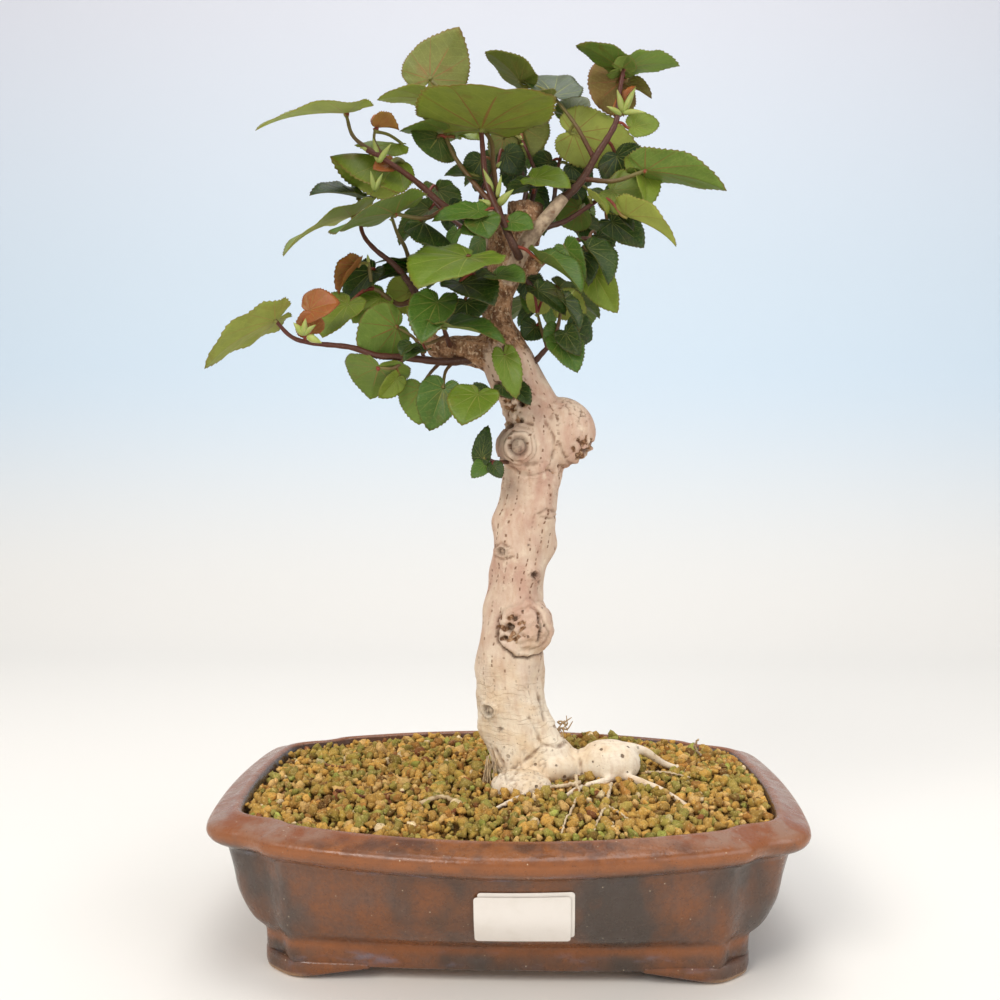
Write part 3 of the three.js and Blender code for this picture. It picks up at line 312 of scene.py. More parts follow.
def smooth_line(points, count, closed=False):
    """Points evenly along a smooth line through the given ones."""
    points = np.asarray(points, float)
    if closed:
        ring = np.vstack([points[-1:], points, points[:2]])
    else:
        ring = np.vstack([2 * points[0] - points[1], points, 2 * points[-1] - points[-2]])
    dense = []
    for i in range(1, len(ring) - 2):
        a, b, c, d = ring[i - 1:i + 3]
        for s in range(CURVE_STEPS):
            t = s / CURVE_STEPS
            dense.append(0.5 * (2 * b + (c - a) * t + (2 * a - 5 * b + 4 * c - d) * t * t
                                + (3 * b - a - 3 * c + d) * t ** 3))
    dense.append(ring[-2])
    dense = np.array(dense)
    length = np.concatenate([[0], np.cumsum(np.linalg.norm(np.diff(dense, axis=0), axis=1))])
    spots = np.linspace(0, length[-1], count + 1 if closed else count)
    line = np.column_stack([np.interp(spots, length, dense[:, k]) for k in range(dense.shape[1])])
    return line[:-1] if closed else line


def unit(vector):
    """The same direction with length 1."""
    return vector / max(1e-9, np.linalg.norm(vector))


def noises(points, size, seed=0):
    """Noise at each point, with features about size millimetres across."""
    shift = Vector((seed * 7.3, seed * 3.1, seed * 5.7))
    return np.array([noise.noise(Vector(p) / size + shift) for p in points])


def fade(values, low, high):
    """Runs softly from 0 to 1 while the values go from low to high."""
    t = np.clip((values - low) / (high - low), 0, 1)
    return t * t * (3 - 2 * t)


def ridge(values, middle, width):
    """1 where the values are at the middle, and falling to 0 on both sides."""
    return np.exp(-((values - middle) / width) ** 2)


def add_object(name, data):
    """Puts a new object with its data into the scene."""
    made = bpy.data.objects.new(name, data)
    bpy.context.scene.collection.objects.link(made)
    return made


def add_tube(mesh, line, radii, sides, slot=0, **values):
    """A closed round bar along a line of points, with a radius for each point."""
    line = np.asarray(line, float)
    tangents = np.gradient(line, axis=0)
    side = np.cross(tangents[0], (0.3, 0.2, 1))
    if np.linalg.norm(side) < 1e-3:
        side = np.cross(tangents[0], (1, 0, 0))
    angles = np.arange(sides) * 2 * math.pi / sides
    rings = []
    for centre, tangent, radius in zip(line, tangents, radii):
        tangent = unit(tangent)
        side = unit(side - tangent * np.dot(side, tangent))
        other = np.cross(tangent, side)
        rings.append(centre + radius * (np.outer(np.cos(angles), side) + np.outer(np.sin(angles), other)))
    points = np.vstack(rings + [line[:1], line[-1:]])
    faces = grid_faces(len(line), sides)
    first, last = len(points) - 2, len(points) - 1
    end = (len(line) - 1) * sides
    for i in range(sides):
        j = (i + 1) % sides
        faces.append((first, j, i))
        faces.append((last, end + i, end + j))
    mesh.add(points, faces, slot, **values)


# Materials

def glaze_material():
    """Brown stoneware glaze: mottled, a painted highlight in rust tone along the lip's edges and the
    moulding, painted shade on the inner wall and matt clay on the feet.
    """
    s = Shader("glaze", IOR=1.5, Specular_IOR_Level=0.5)
    clouds = s.noise(60, 4, 0.55, (1, 1, 0.6))
    drift = s.noise(18, 5, 0.62)
    fine = s.noise(1.9, 4, 0.65)
    across = s.axis(s.place, 0)
    warm = s.step(s.size_of(s.plus(across, 0.045)), 0.0, 0.1, 0.22, 0)
    body = s.mix(s.step(s.plus(clouds, warm), 0.5, 0.66), "453a31", "7d4b28")
    body = s.mix(s.step(drift, 0.42, 0.72, 0, 0.5), body, "564c46")
    body = s.mix(s.step(drift, 0.3, 0.44, 0.35, 0), body, "6b4426")
    body = s.mix(s.step(fine, 0.35, 0.75, 0, 0.4), body, "43302a")
    ledge = s.mix(s.blots(14, 4, 0.38, 0.6), "92705c", "874d2a")
    deep = s.axis(s.place, 1)
    rich = s.mix(s.blots(9, 4, 0.35, 0.65), "4e2f1c", "8a5227")
    ledge = s.mix(s.step(deep, -0.098, -0.086, 0.85, 0), ledge, rich)
    body = s.mix(s.value("ledge"), body, ledge)
    # Painted highlight: a patchy rust-toned band along the lip's outer and inner edge and the moulding.
    edge = s.value("edge")
    edge_highlight = s.times(edge, s.blots(11, 4, 0.25, 0.6, 0.45, 1))
    body = s.mix(edge_highlight, body, "92562b")
    bloom = s.times(s.value("bloom"), s.step(s.noise(7, 3, 0.6, (0.35, 1, 1)), 0.52, 0.72))
    body = s.mix(s.times(bloom, 0.6), body, "767a8c")
    specks = s.cells(3.4)
    speck = s.step(specks.outputs["Distance"], 0.05, 0.1, 1, 0)
    rare = s.times(speck, s.blots(5, 2, 0.5, 0.58))
    body = s.mix(rare, body, "cdbba0")
    dark_specks = s.step(s.cells(2.3, stretch=(1, 1, 1.3)).outputs["Distance"], 0.09, 0.16, 0.55, 0)
    body = s.mix(dark_specks, body, "33241c")
    # Painted shade: the inner wall, from just under the lip's inner edge down, is darkened nearly to black.
    body = s.mix(s.times(s.value("inside"), 0.75), body, "2e211a")
    clay = s.value("clay")
    body = s.mix(clay, body, s.mix(s.noise(3, 4), "a9805c", "c9a57f"))
    rough = s.blots(6, 4, 0.3, 0.7, 0.2, 0.36)
    rough = s.most(rough, s.times(clay, 0.85))
    return s.finish(body, rough, (s.noise(4.5, 3), 0.35), (fine, 0.1))


# Across the trunk, millimetres from one row of dots to the next, and dots to a millimetre along it.
ROW_SPACING = 5.6
DOT_RATE = 0.42
FOLD_SPACING = 2.3


def dot_rows(s, wrap):
    """Small brown dots strung in wavering upright rows."""
    drift = s.times(s.noise(24, 2, 0.5, vector=wrap), 9.0)
    rows = s.math("DIVIDE", s.plus(s.axis(wrap, 0), drift), ROW_SPACING)
    off = s.size_of(s.minus(s.math("FRACT", rows), 0.5))
    count = s.times(s.math("FLOOR", rows), 7.3)
    point = s.add("CombineXYZ", {0: count, 1: s.times(s.axis(wrap, 1), DOT_RATE)}).outputs[0]
    beads = s.add("TexVoronoi", {"Vector": point, "Scale": 1.0, "Randomness": 0.8},
                  voronoi_dimensions="2D", feature="F1")
    near = s.step(beads.outputs["Distance"], 0.2, 0.4, 1, 0)
    line = s.step(off, 0.045, 0.1, 1, 0)
    patch = s.step(s.noise(15, 3, 0.5, (1, 0.5, 1), wrap), 0.36, 0.52)
    return s.times(s.times(near, line), patch)


def wrinkle_lines(s, wrap):
    """Fine level folds, bent and broken."""
    bend = s.times(s.noise(17, 3, 0.55, vector=wrap), 15.0)
    rise = s.math("DIVIDE", s.plus(s.axis(wrap, 1), bend), FOLD_SPACING)
    gap = s.size_of(s.minus(s.math("FRACT", rise), 0.5))
    broken = s.step(s.noise(5, 2, 0.5, (0.4, 1.6, 1), wrap), 0.42, 0.6)
    return s.times(s.step(gap, 0.02, 0.13, 1, 0), broken)


def bark_material():
    """Pale smooth bark: brown dots in upright rows, fine folds, rough brown bark higher up, and painted shade
    in its grooves, creases, holes and splits.
    """
    s = Shader("bark", Specular_IOR_Level=0.25)
    wrap = s.add("UVMap", uv_map="wrap").outputs[0]
    height = s.axis(s.place, 2)
    pale = s.mix(s.blots(12, 4, 0.35, 0.7), "f2e4cc", "e4cba8")
    upper = s.mix(s.step(s.noise(10, 4, 0.6, (1, 1, 0.45)), 0.35, 0.7), "d6bea6", "c09a86")
    cream = s.mix(s.step(height, 0.088, 0.17), pale, upper)
    streak = s.noise(2.4, 4, 0.6, (1, 1, 0.28))
    cream = s.mix(s.step(streak, 0.4, 0.8, 0, 0.4), cream, "b98f70")
    cream = s.mix(s.blots(5, 4, 0.5, 0.8, 0, 0.5), cream, "efe0c4")
    rough_bark = s.value("rough_bark")
    flakes = s.noise(3.4, 5, 0.7, (1, 1, 0.55))
    brown = s.mix(s.step(flakes, 0.36, 0.62), "5f3f29", "b08662")
    brown = s.mix(s.blots(1.5, 3, 0.52, 0.68, 0, 0.75), brown, "d6ba98")
    share = s.step(s.plus(rough_bark, s.times(s.noise(5, 4), 0.7)), 0.62, 0.95)
    color = s.mix(share, cream, brown)
    grey = s.mix(s.blots(3, 4, 0.35, 0.65), "7f6a54", "b7a184")
    color = s.mix(s.value("grey"), color, grey)
    rows = s.times(dot_rows(s, wrap), s.step(height, 0.1, 0.135))
    flecks = s.cells(2.6)
    fleck = s.step(flecks.outputs["Distance"], 0.1, 0.22, 1, 0)
    fleck = s.times(fleck, s.step(s.plus(rough_bark, s.noise(8, 2)), 0.72, 0.95))
    dots = s.cells(4.6)
    size = s.times(s.add("SeparateColor", {0: dots.outputs["Color"]}).outputs[0], 0.21)
    uneven = s.plus(size, s.times(s.noise(1.2, 2), 0.14))
    pits = s.step(s.minus(dots.outputs["Distance"], uneven), -0.1, -0.02, 1, 0)
    pits = s.times(pits, s.value("pitted"))
    specks = s.step(s.cells(1.7).outputs["Distance"], 0.1, 0.2, 1, 0)
    specks = s.times(specks, s.blots(9, 3, 0.48, 0.66, 0, 0.6))
    marks = s.most(s.most(rows, fleck), specks)
    folds = s.times(wrinkle_lines(s, wrap), s.value("folded"))
    color = s.mix(s.times(marks, 0.8), color, "70492c")
    color = s.mix(s.times(folds, 0.35), color, "a98662")
    # Painted shade: darker in the grooves, creases and cracks, the wound rings' troughs and the fold under
    # the knot's lip.
    color = s.mix(s.times(s.value("groove"), 0.85), color, "6b452a")
    # Painted shade in the wounds' sunken rims, the holes and the knot's fold and split, with the bare wood's
    # own dark tone at the wound hearts and on the stub's cut top.
    dark = s.times(s.value("dark"), s.blots(1.1, 3, 0.2, 0.6, 1, 0.72))
    color = s.mix(s.times(pits, 0.8), color, "5d4028")
    color = s.mix(dark, color, "432c1b")
    relief = s.minus(s.noise(1.3, 4, 0.6), s.times(marks, 0.6))
    cut = s.plus(s.times(folds, 0.35), pits)
    deep = s.minus(s.times(share, flakes), cut)
    rough = s.blots(4, 3, 0.3, 0.7, 0.62, 0.85)
    return s.finish(color, rough, (relief, 0.32), (deep, 0.7))


# Main veins: degrees from the midrib, and how far each reaches in a leaf of length 1.
VEINS = ((0, 1.0), (27, 0.8), (58, 0.62), (95, 0.5), (132, 0.36))


def vein_lines(s, leaf):
    """Palm-shaped main veins from the stalk, slanting side veins and a fine net between them."""
    ahead, across = s.axis(leaf, 0), s.size_of(s.axis(leaf, 1))
    point = s.add("CombineXYZ", {0: ahead, 1: across}).outputs[0]
    bend = s.times(s.minus(s.noise(0.5, 2, 0.5, vector=leaf), 0.5), 0.07)
    lines = None
    for degrees, reach_end in VEINS:
        along = (math.cos(math.radians(degrees)), math.sin(math.radians(degrees)), 0)
        off = (-along[1], along[0], 0)
        reach = s.add("VectorMath", {0: point, 1: along}, operation="DOT_PRODUCT").outputs["Value"]
        away = s.add("VectorMath", {0: point, 1: off}, operation="DOT_PRODUCT").outputs["Value"]
        away = s.plus(away, s.times(bend, reach))
        width = s.step(reach, 0.0, reach_end, 0.010 if degrees else 0.013, 0.003)
        width = s.times(width, s.step(reach, 0.0, 0.2, 0.25, 1))
        ratio = s.math("DIVIDE", s.size_of(away), width)
        line = s.times(s.step(ratio, 0.5, 1.3, 1, 0), s.math("GREATER_THAN", reach, 0.0))
        lines = line if lines is None else s.most(lines, line)
    slant = s.minus(ahead, s.times(across, 0.62))
    wobble = s.times(s.noise(0.3, 2, 0.5, vector=leaf), 0.12)
    saw = s.math("FRACT", s.times(s.plus(slant, wobble), 6.5))
    side = s.step(s.size_of(s.minus(saw, 0.5)), 0.0, 0.05, 1, 0)
    net = s.cells(0.06, "DISTANCE_TO_EDGE", leaf).outputs["Distance"]
    net = s.step(net, 0.0, 0.07, 1, 0)
    return lines, s.most(s.times(side, 0.7), s.times(net, 0.3))


def leaf_material():
    """Leaf skin in the tone that each leaf carries, glossier above than below."""
    s = Shader("leaf", Specular_IOR_Level=0.32, Subsurface_Weight=0.1, Subsurface_Scale=0.0015)
    s.surface.inputs["Subsurface Radius"].default_value = (0.6, 1.0, 0.25)
    leaf = s.add("UVMap", uv_map="blade").outputs[0]
    tone, under, red = s.tint("tone"), s.value("under"), s.value("red")
    main, small = vein_lines(s, leaf)
    patch = s.noise(7, 4)
    color = s.mix(s.step(patch, 0.35, 0.7, 0, 0.35), tone, s.mix(0.5, tone, "27401a"))
    color = s.mix(s.blots(1.1, 3, 0.45, 0.8, 0, 0.14), color, "a9a852")
    blotch = s.step(s.noise(13, 3, 0.6), 0.56, 0.74, 0, 0.5)
    color = s.mix(s.times(blotch, red), color, "7c4a24")
    light_vein = s.mix(0.45, tone, "bcc465")
    vein = s.mix(s.times(red, s.step(under, 0, 1, 0.3, 1)), light_vein, "8d3f2a")
    color = s.mix(s.times(small, 0.42), color, light_vein)
    color = s.mix(s.times(main, 0.72), color, vein)
    rim = s.step(s.value("margin"), 0.95, 1.0, 0, 0.55)
    color = s.mix(s.times(rim, red), color, "7c3b22")
    rough = s.step(s.plus(under, s.noise(3, 3)), 0.3, 1.3, 0.42, 0.66)
    relief = s.plus(main, s.times(small, 0.5))
    return s.finish(color, rough, (relief, 0.1), (s.noise(0.8, 3), 0.06))


def stalk_material():
    """Stalks and green stems, with their tone carried by each one and fine pale dots."""
    s = Shader("stalk", Specular_IOR_Level=0.4)
    tone = s.tint("tone")
    color = s.mix(s.blots(4, 3, 0.35, 0.7, 0, 0.45), tone, s.mix(0.5, tone, "3a2418"))
    dots = s.step(s.cells(1.3).outputs["Distance"], 0.12, 0.25, 1, 0)
    color = s.mix(s.times(dots, 0.14), color, "c8a27a")
    return s.finish(color, s.blots(2, 2, 0.3, 0.7, 0.4, 0.6), (s.noise(0.9, 3), 0.08))


def bud_material():
    """Pale green buds, streaked upward."""
    s = Shader("bud", Specular_IOR_Level=0.4, Subsurface_Weight=0.2, Subsurface_Scale=0.002)
    tone = s.tint("tone")
    color = s.mix(s.step(s.noise(2, 3, 0.5, (1, 1, 0.3)), 0.35, 0.7, 0, 0.5), tone, "8f9c3c")
    return s.finish(color, 0.45, (s.noise(1.0, 2), 0.06))


def granule_material():
    """Baked clay granules, each in its own tone, with mossy green and dark pores."""
    s = Shader("granules", Specular_IOR_Level=0.2)
    tone = s.tint("tone")
    color = s.mix(s.step(s.noise(1.7, 4, 0.65), 0.35, 0.7, 0, 0.6), tone, s.mix(0.6, tone, "6a4620"))
    color = s.mix(s.blots(19, 4, 0.5, 0.68, 0, 0.55), color, "8d8a38")
    color = s.mix(s.blots(0.9, 3, 0.55, 0.7, 0, 0.75), color, "e0c486")
    color = s.mix(s.step(s.noise(1.3, 4, 0.7), 0.3, 0.45, 0.6, 0), color, "5a3f1c")
    pore = s.step(s.cells(0.9).outputs["Distance"], 0.12, 0.3, 0.5, 0)
    color = s.mix(pore, color, "3c2712")
    return s.finish(color, 0.92, (s.noise(0.8, 4, 0.65), 0.5))


def soil_material():
    """Dark soil that shows between the granules."""
    s = Shader("soil_bed", Specular_IOR_Level=0.15)
    color = s.mix(s.step(s.noise(2.4, 5, 0.7), 0.35, 0.7), "3a2810", "7a592a")
    return s.finish(color, 0.95, (s.noise(1.6, 4, 0.65), 0.8))


def root_material():
    """Dry root strings in the tone that each carries, stained brown."""
    s = Shader("rootlets", Specular_IOR_Level=0.25)
    tone = s.tint("tone")
    color = s.mix(s.blots(2.5, 4, 0.4, 0.72, 0, 0.6), tone, "7c5a38")
    return s.finish(color, 0.8, (s.noise(1.1, 3), 0.15))


def paper_material():
    """Blank paper, a little darker near its rim."""
    s = Shader("label_paper", Specular_IOR_Level=0.35)
    color = s.mix(s.blots(9, 4, 0.4, 0.75, 0, 0.25), "e9e2d9", "d3cabb")
    color = s.mix(s.step(s.value("rim"), 0.93, 1.0, 0, 0.3), color, "b9ab96")
    return s.finish(color, s.blots(5, 2, 0.3, 0.7, 0.45, 0.6), (s.noise(0.5, 2), 0.02))


def net_material():
    """Black plastic net, dusty in places."""
    s = Shader("drain_net", Specular_IOR_Level=0.3)
    color = s.mix(s.blots(3, 4, 0.4, 0.7), "1d1d1d", "38342e")
    return s.finish(color, s.blots(1.5, 2, 0.3, 0.7, 0.5, 0.75), (s.noise(0.7, 2), 0.08))


def stage_material():
    """The backdrop's paper, white at the floor, with painted light falloff that turns it bluer and then
    greyer with height.
    """
    s = Shader("studio_sweep", Specular_IOR_Level=0.1)
    height = s.axis(s.place, 2)
    # Painted light falloff: the one paper sweep is tinted blue-grey higher up.
    color = s.mix(s.step(height, 0.0, 0.4), "eeeae2", "d2e1ec")
    color = s.mix(s.step(height, 0.35, 1.3), color, "e2dfe4")
    return s.finish(color, 0.9, (s.noise(40, 2), 0.02))


# Pot

# Points round each ring of the pot
WALL_POINTS = 288
# How far the bent side and the bent face of the rim reach from their middles
SIDE_REACH = 60
FACE_REACH = 100
# The rim's corner as inset from the side and distance back, and a quarter of the base's outline
RIM_CORNER = [(8, 70.5), (16, 76), (25, 79.5), (31.5, 84.5)]
BASE_QUARTER = [
    (110, 0), (110, 26), (109, 50), (107, 59.5), (102, 64), (98, 67), (95, 71.5), (88, 74), (60, 75.5),
    (30, 76.6), (0, 77),
]
# The outer wall, row by row: height, inset and share of the base's outline.
OUTER_WALL = [
    (10, 0.1, 1), (13, 0, 1), (16, 0.3, 0.98), (18, 0.9, 0.92), (20, 1.8, 0.8), (24, 3.4, 0.6),
    (34, 6.2, 0.3), (45, 7.8, 0.14), (53, 8.9, 0.01),
]
# The underside and its edge, the lip and the floor, in the same way.
WALL_FOOT = [(POT_BASE, 105, 1), (POT_BASE, 60, 1), (POT_BASE, 3, 1), (POT_BASE + 0.1, 1.6, 1),
             (POT_BASE + 0.8, 0.7, 1)]
LIP = [(54.6, 8.4, 0), (55.6, 7.2, 0), (56.4, 5.6, 0), (57.4, 3.8, 0), (58.8, 2, 0), (60.6, 0.8, 0),
       (62.6, 0.2, 0), (64.4, 0.4, 0), (65.6, 1.3, 0), (66.6, 3, 0), (68, 7.5, 0), (69.2, 10.2, 0),
       (69.8, 12.2, 0), (69.4, 13.8, 0), (68.5, 14.8, 0)]
# Top and foot of the inner wall as height and inset, and the heights of the rows between them.
INNER_TOP, INNER_LOW = (68.5, 14.8), (POT_FLOOR, 8)
INNER_HEIGHTS = (64, 58, 50, 42, 34, 26, 18.5)
FLOOR_ROWS = [(16.6, 9.4, 1), (POT_FLOOR, 12, 1), (POT_FLOOR, 60, 1), (POT_FLOOR, 105, 1)]


def rim_quarter():
    """From the middle of the right side to the middle of the back."""
    side = [(HALF_LENGTH - SIDE_SWELL * (y / SIDE_REACH) ** 2, y) for y in (0, 30, SIDE_REACH)]
    corner = [(HALF_LENGTH - inset, y) for inset, y in RIM_CORNER]
    face = [(x, HALF_WIDTH - FACE_SWELL * (x / FACE_REACH) ** 2) for x in (FACE_REACH, 67, 33, 0)]
    return side + corner + face


def outline(share):
    """The pot's outline at a share of the way from the rim's to the base's."""
    rim, base = np.array(rim_quarter()), np.array(BASE_QUARTER, float)
    quarter = rim + (base - rim) * share
    half = np.vstack([quarter, quarter[-2::-1] * (-1, 1)])
    whole = np.vstack([half, half[-2:0:-1] * (1, -1)])
    return smooth_line(whole, WALL_POINTS, closed=True)


def ring_at(z, inset, share):
    """The outline at height z, drawn in by an inset."""
    scale = np.array([1 - inset / HALF_LENGTH, 1 - inset / HALF_WIDTH])
    return np.column_stack([outline(share) * scale, np.full(WALL_POINTS, z)])


def inner_ring(z, gap=0.0):
    """The inner wall at height z, drawn in by a gap."""
    share = (INNER_TOP[0] - z) / (INNER_TOP[0] - INNER_LOW[0])
    high, low = ring_at(z, INNER_TOP[1] + gap, 0), ring_at(z, INNER_LOW[1] + gap, 1)
    return high + (low - high) * share


# The base's front: how far out its middle stands, how much it has bent back at a place so far to
# one side, and by what share its points lie closer together than the rim's.
BASE_FRONT = 77
BASE_BEND = 1.5
BASE_BEND_AT = 67
BASE_CROWDING = 0.1


def front_wall(x, z):
    """The y of the front wall at a place across and up."""
    inset, share = (np.interp(z, WALL_ROWS[:, 0], WALL_ROWS[:, k]) for k in (1, 2))
    rim_x = x / (1 - inset / HALF_LENGTH) / (1 - share * BASE_CROWDING)
    rim_y = HALF_WIDTH - FACE_SWELL * (rim_x / FACE_REACH) ** 2
    base_y = BASE_FRONT - BASE_BEND * (rim_x / BASE_BEND_AT) ** 2
    return -(rim_y + (base_y - rim_y) * share) * (1 - inset / HALF_WIDTH)


WALL_ROWS = smooth_line(OUTER_WALL, 40)


# Bands of the glaze, as height and width: a painted highlight on the lip's outer and inner edge and
# on the moulding, and a pale bloom under the lip and over the foot.
OUTER_EDGE = (62, 3.4)
INNER_EDGE = (69.4, 0.8)
MOULDING = (15.5, 2.4)
HIGH_BLOOM = (56, 2.2)
LOW_BLOOM = (11, 3)


def add_pot_body(mesh):
    """Outer wall, lip, inner wall and floor, with the painted highlight on the edges, the glaze's bloom and
    the painted shade on the inner wall.
    """
    profile = WALL_FOOT + [tuple(row) for row in WALL_ROWS] + LIP
    rings = [ring_at(*row) for row in profile]
    rings += [inner_ring(z) for z in INNER_HEIGHTS]
    rings += [ring_at(*row) for row in FLOOR_ROWS]
    points = np.vstack(rings)
    count = WALL_POINTS
    faces = grid_faces(len(rings), count)
    last = (len(rings) - 1) * count
    faces += [(i, last + i, last + (i + 1) % count, (i + 1) % count) for i in range(count)]
    heights = points[:, 2]
    order = np.repeat(np.arange(len(rings)), count)
    inner = order > len(profile) - 3
    insets = np.repeat([row[1] for row in profile] + [20] * (len(rings) - len(profile)), count)
    outer_edge = ridge(heights, *OUTER_EDGE) * ~inner
    inner_edge = ridge(heights, *INNER_EDGE) * (insets > 11) * (insets < 16)
    moulding = 0.75 * ridge(heights, *MOULDING) * ~inner
    bloom = ridge(heights, *HIGH_BLOOM) + 0.8 * ridge(heights, *LOW_BLOOM)
    edge = np.clip(outer_edge + inner_edge + moulding, 0, 1)
    ledge = ~inner * fade(heights, 62, 65)
    # edge carries the painted highlight, and inside the painted shade of the inner wall.
    mesh.add(points, faces, 0, edge=edge, bloom=np.clip(bloom, 0, 1) * ~inner, ledge=ledge,
             clay=(order < 3) * 0.6, inside=inner * fade(-heights, -70, -68))


# One foot: the line of its outer side, and the lift of its underside along that line.
FOOT_PATH = [(60, 75), (76, 74.6), (90, 73.2), (100, 67), (107.4, 58), (109.4, 42), (109.6, 28)]
FOOT_LIFT = [POT_BASE - 0.6, 1.6, 0, 0, 0, 1.6, POT_BASE - 0.6]
FOOT_TOP = POT_BASE + 2
FOOT_WIDTH = 11
# How much steeper than a line to the pot's middle the foot's width runs
FOOT_TURN = 1.4
FOOT_ROWS = 49


def add_foot(mesh, mirror_x, mirror_y):
    """A foot round a corner, flush with the base, whose underside curls up to each end."""
    path = smooth_line(FOOT_PATH, FOOT_ROWS)
    lifts = smooth_line([(i, lift) for i, lift in enumerate(FOOT_LIFT)], FOOT_ROWS)[:, 1].clip(0)
    rings = []
    for (x, y), lift in zip(path, lifts):
        inward = unit(np.array([-x, -y * FOOT_TURN]))
        bevel = min(1.1, (FOOT_TOP - lift) / 4)
        corners = [(bevel * 0.3 - 0.4, lift + bevel * 0.5), (-0.4, lift + 2 * bevel),
                   (-0.35, FOOT_TOP - 1.2), (0.3, FOOT_TOP), (FOOT_WIDTH, FOOT_TOP),
                   (FOOT_WIDTH, lift + bevel), (FOOT_WIDTH - bevel, lift), (bevel, lift)]
        rings.append([(mirror_x * (x + inward[0] * depth), mirror_y * (y + inward[1] * depth), z)
                      for depth, z in corners])
    points = np.array(rings).reshape(-1, 3)
    sides = len(corners)
    faces = grid_faces(FOOT_ROWS, sides) + end_faces(FOOT_ROWS, sides)
    if mirror_x * mirror_y > 0:
        faces = [face[::-1] for face in faces]
    low = np.clip(1.3 - points[:, 2] / 1.4, 0, 1)
    mesh.add(points, faces, 0, edge=0.15, bloom=0.35, clay=low, ledge=0.0, inside=0.0)


def make_pot(glaze):
    """The body, its four feet and two drain holes."""
    mesh = Mesh()
    add_pot_body(mesh)
    for sx in (-1, 1):
        for sy in (-1, 1):
            add_foot(mesh, sx, sy)
    pot = mesh.build("glazed_pot", [glaze])
    for sx in (-1, 1):
        drill(pot, sx * DRAIN_OFFSET)
    settle(pot, ["pot"])


def drill(pot, x):
    """Cuts a drain hole through the base."""
    bpy.ops.mesh.primitive_cylinder_add(vertices=48, radius=DRAIN_RADIUS * MM, depth=30 * MM,
                                        location=(x * MM, 0, 12 * MM))
    cutter = bpy.context.object
    cut = pot.modifiers.new("drain", "BOOLEAN")
    cut.operation = "DIFFERENCE"
    cut.object = cutter
    bake(pot)
    bpy.data.objects.remove(cutter)


def bake(piece):
    """Applies the modifiers of a piece to its mesh."""
    bpy.context.view_layer.update()
    mesh = bpy.data.meshes.new_from_object(piece.evaluated_get(bpy.context.evaluated_depsgraph_get()))
    piece.modifiers.clear()
    piece.data = mesh


# Paper labels, blank

LABEL_SIZE = (40.3, 22.6)
LABEL_CORNER = 1.6
LABEL_THICKNESS = 0.16
# Name, left end and top edge, tilt, distance off the wall and lift of the lower right corner.
LABELS = [
    ("paper_label_lower", -11.5, 49, 0.012, 0.35, 0.3), ("paper_label_upper", -13.1, 47, 0.012, 1.0, 0.5),
]


def corner_cut(share, size, other):
    """How far the sheet's end is drawn in at a share of its other side, for rounded corners."""
    from_end = min(share, 1 - share) * other
    if from_end >= LABEL_CORNER:
        return 0
    return (LABEL_CORNER - math.sqrt(LABEL_CORNER ** 2 - (LABEL_CORNER - from_end) ** 2)) / size


def make_label(name, left, top, tilt, off, lift, paper):
    """A thin sheet that follows the front wall, its lower corner lifted a little."""
    width, height = LABEL_SIZE
    rows, count = 24, 40
    row_shares = (1 - np.cos(np.linspace(0, math.pi, rows))) / 2
    count_shares = (1 - np.cos(np.linspace(0, math.pi, count))) / 2
    layers, rims = [], []
    for face in (0, LABEL_THICKNESS):
        for v in row_shares:
            cut = corner_cut(v, width, height)
            for u in count_shares:
                across = (cut + u * (1 - 2 * cut)) * width
                down = v * height
                x, z = left + across + tilt * down, top - down + tilt * across
                curl = lift * max(0, (across / width + down / height - 1.45) / 0.55) ** 2
                layers.append((x, front_wall(x, z) - off - face - curl, z))
                rims.append(1 - min(across, width - across, down, height - down) / 3)
    back = grid_faces(rows, count, closed=False)
    front = [face[::-1] for face in grid_faces(rows, count, closed=False, start=rows * count)]
    edge = [r * count for r in range(rows)] + [(rows - 1) * count + i for i in range(1, count)]
    edge += [r * count + count - 1 for r in range(rows - 2, -1, -1)] + list(range(count - 2, 0, -1))
    half = rows * count
    seam = [(a, b, b + half, a + half) for a, b in zip(edge, edge[1:] + edge[:1])]
    mesh = Mesh()
    mesh.add(layers, back + front + seam, rim=np.clip(rims, 0, 1))
    sheet = mesh.build(name + "_sheet", [paper])
    sheet.data.polygons.foreach_set("use_smooth", [i < 2 * (rows - 1) * (count - 1)
                                                   for i in range(len(sheet.data.polygons))])
    settle(sheet, [name])


# Soil

# The mound round the trunk: its middle, how much wider than deep it is, its reach and its rise.
MOUND = {"x": 18.5, "y": 4, "stretch": 1.25, "reach": 105, "rise": 7}
COARSE_RELIEF = 0.9
FINE_RELIEF = 0.7


def soil_height(x, y):
    """Height of the mounded soil without its small relief."""
    away = math.hypot((x - MOUND["x"]) / MOUND["stretch"], y - MOUND["y"]) / MOUND["reach"]
    return SOIL_EDGE + MOUND["rise"] * max(0, 1 - away * away)


def soil_relief(x, y):
    """Height of the soil with its small rises and dips, as in the part's source."""
    coarse = math.sin(0.21 * x + 1.3) * math.cos(0.26 * y - 0.4)
    fine = math.sin(0.83 * x + 0.57 * y) * math.cos(0.71 * y - 0.49 * x)
    return soil_height(x, y) + COARSE_RELIEF * coarse + FINE_RELIEF * fine


# Colours of the granules, and how many of a hundred and eight have each.
GRANULE_TONES = [
    ("ac8440", 26), ("9c7a3c", 22), ("8c7a3c", 16), ("b8945a", 12), ("80783a", 10), ("8f6430", 8),
    ("c8b28a", 3), ("74462a", 3), ("5f4322", 5), ("8a8c42", 3),
]
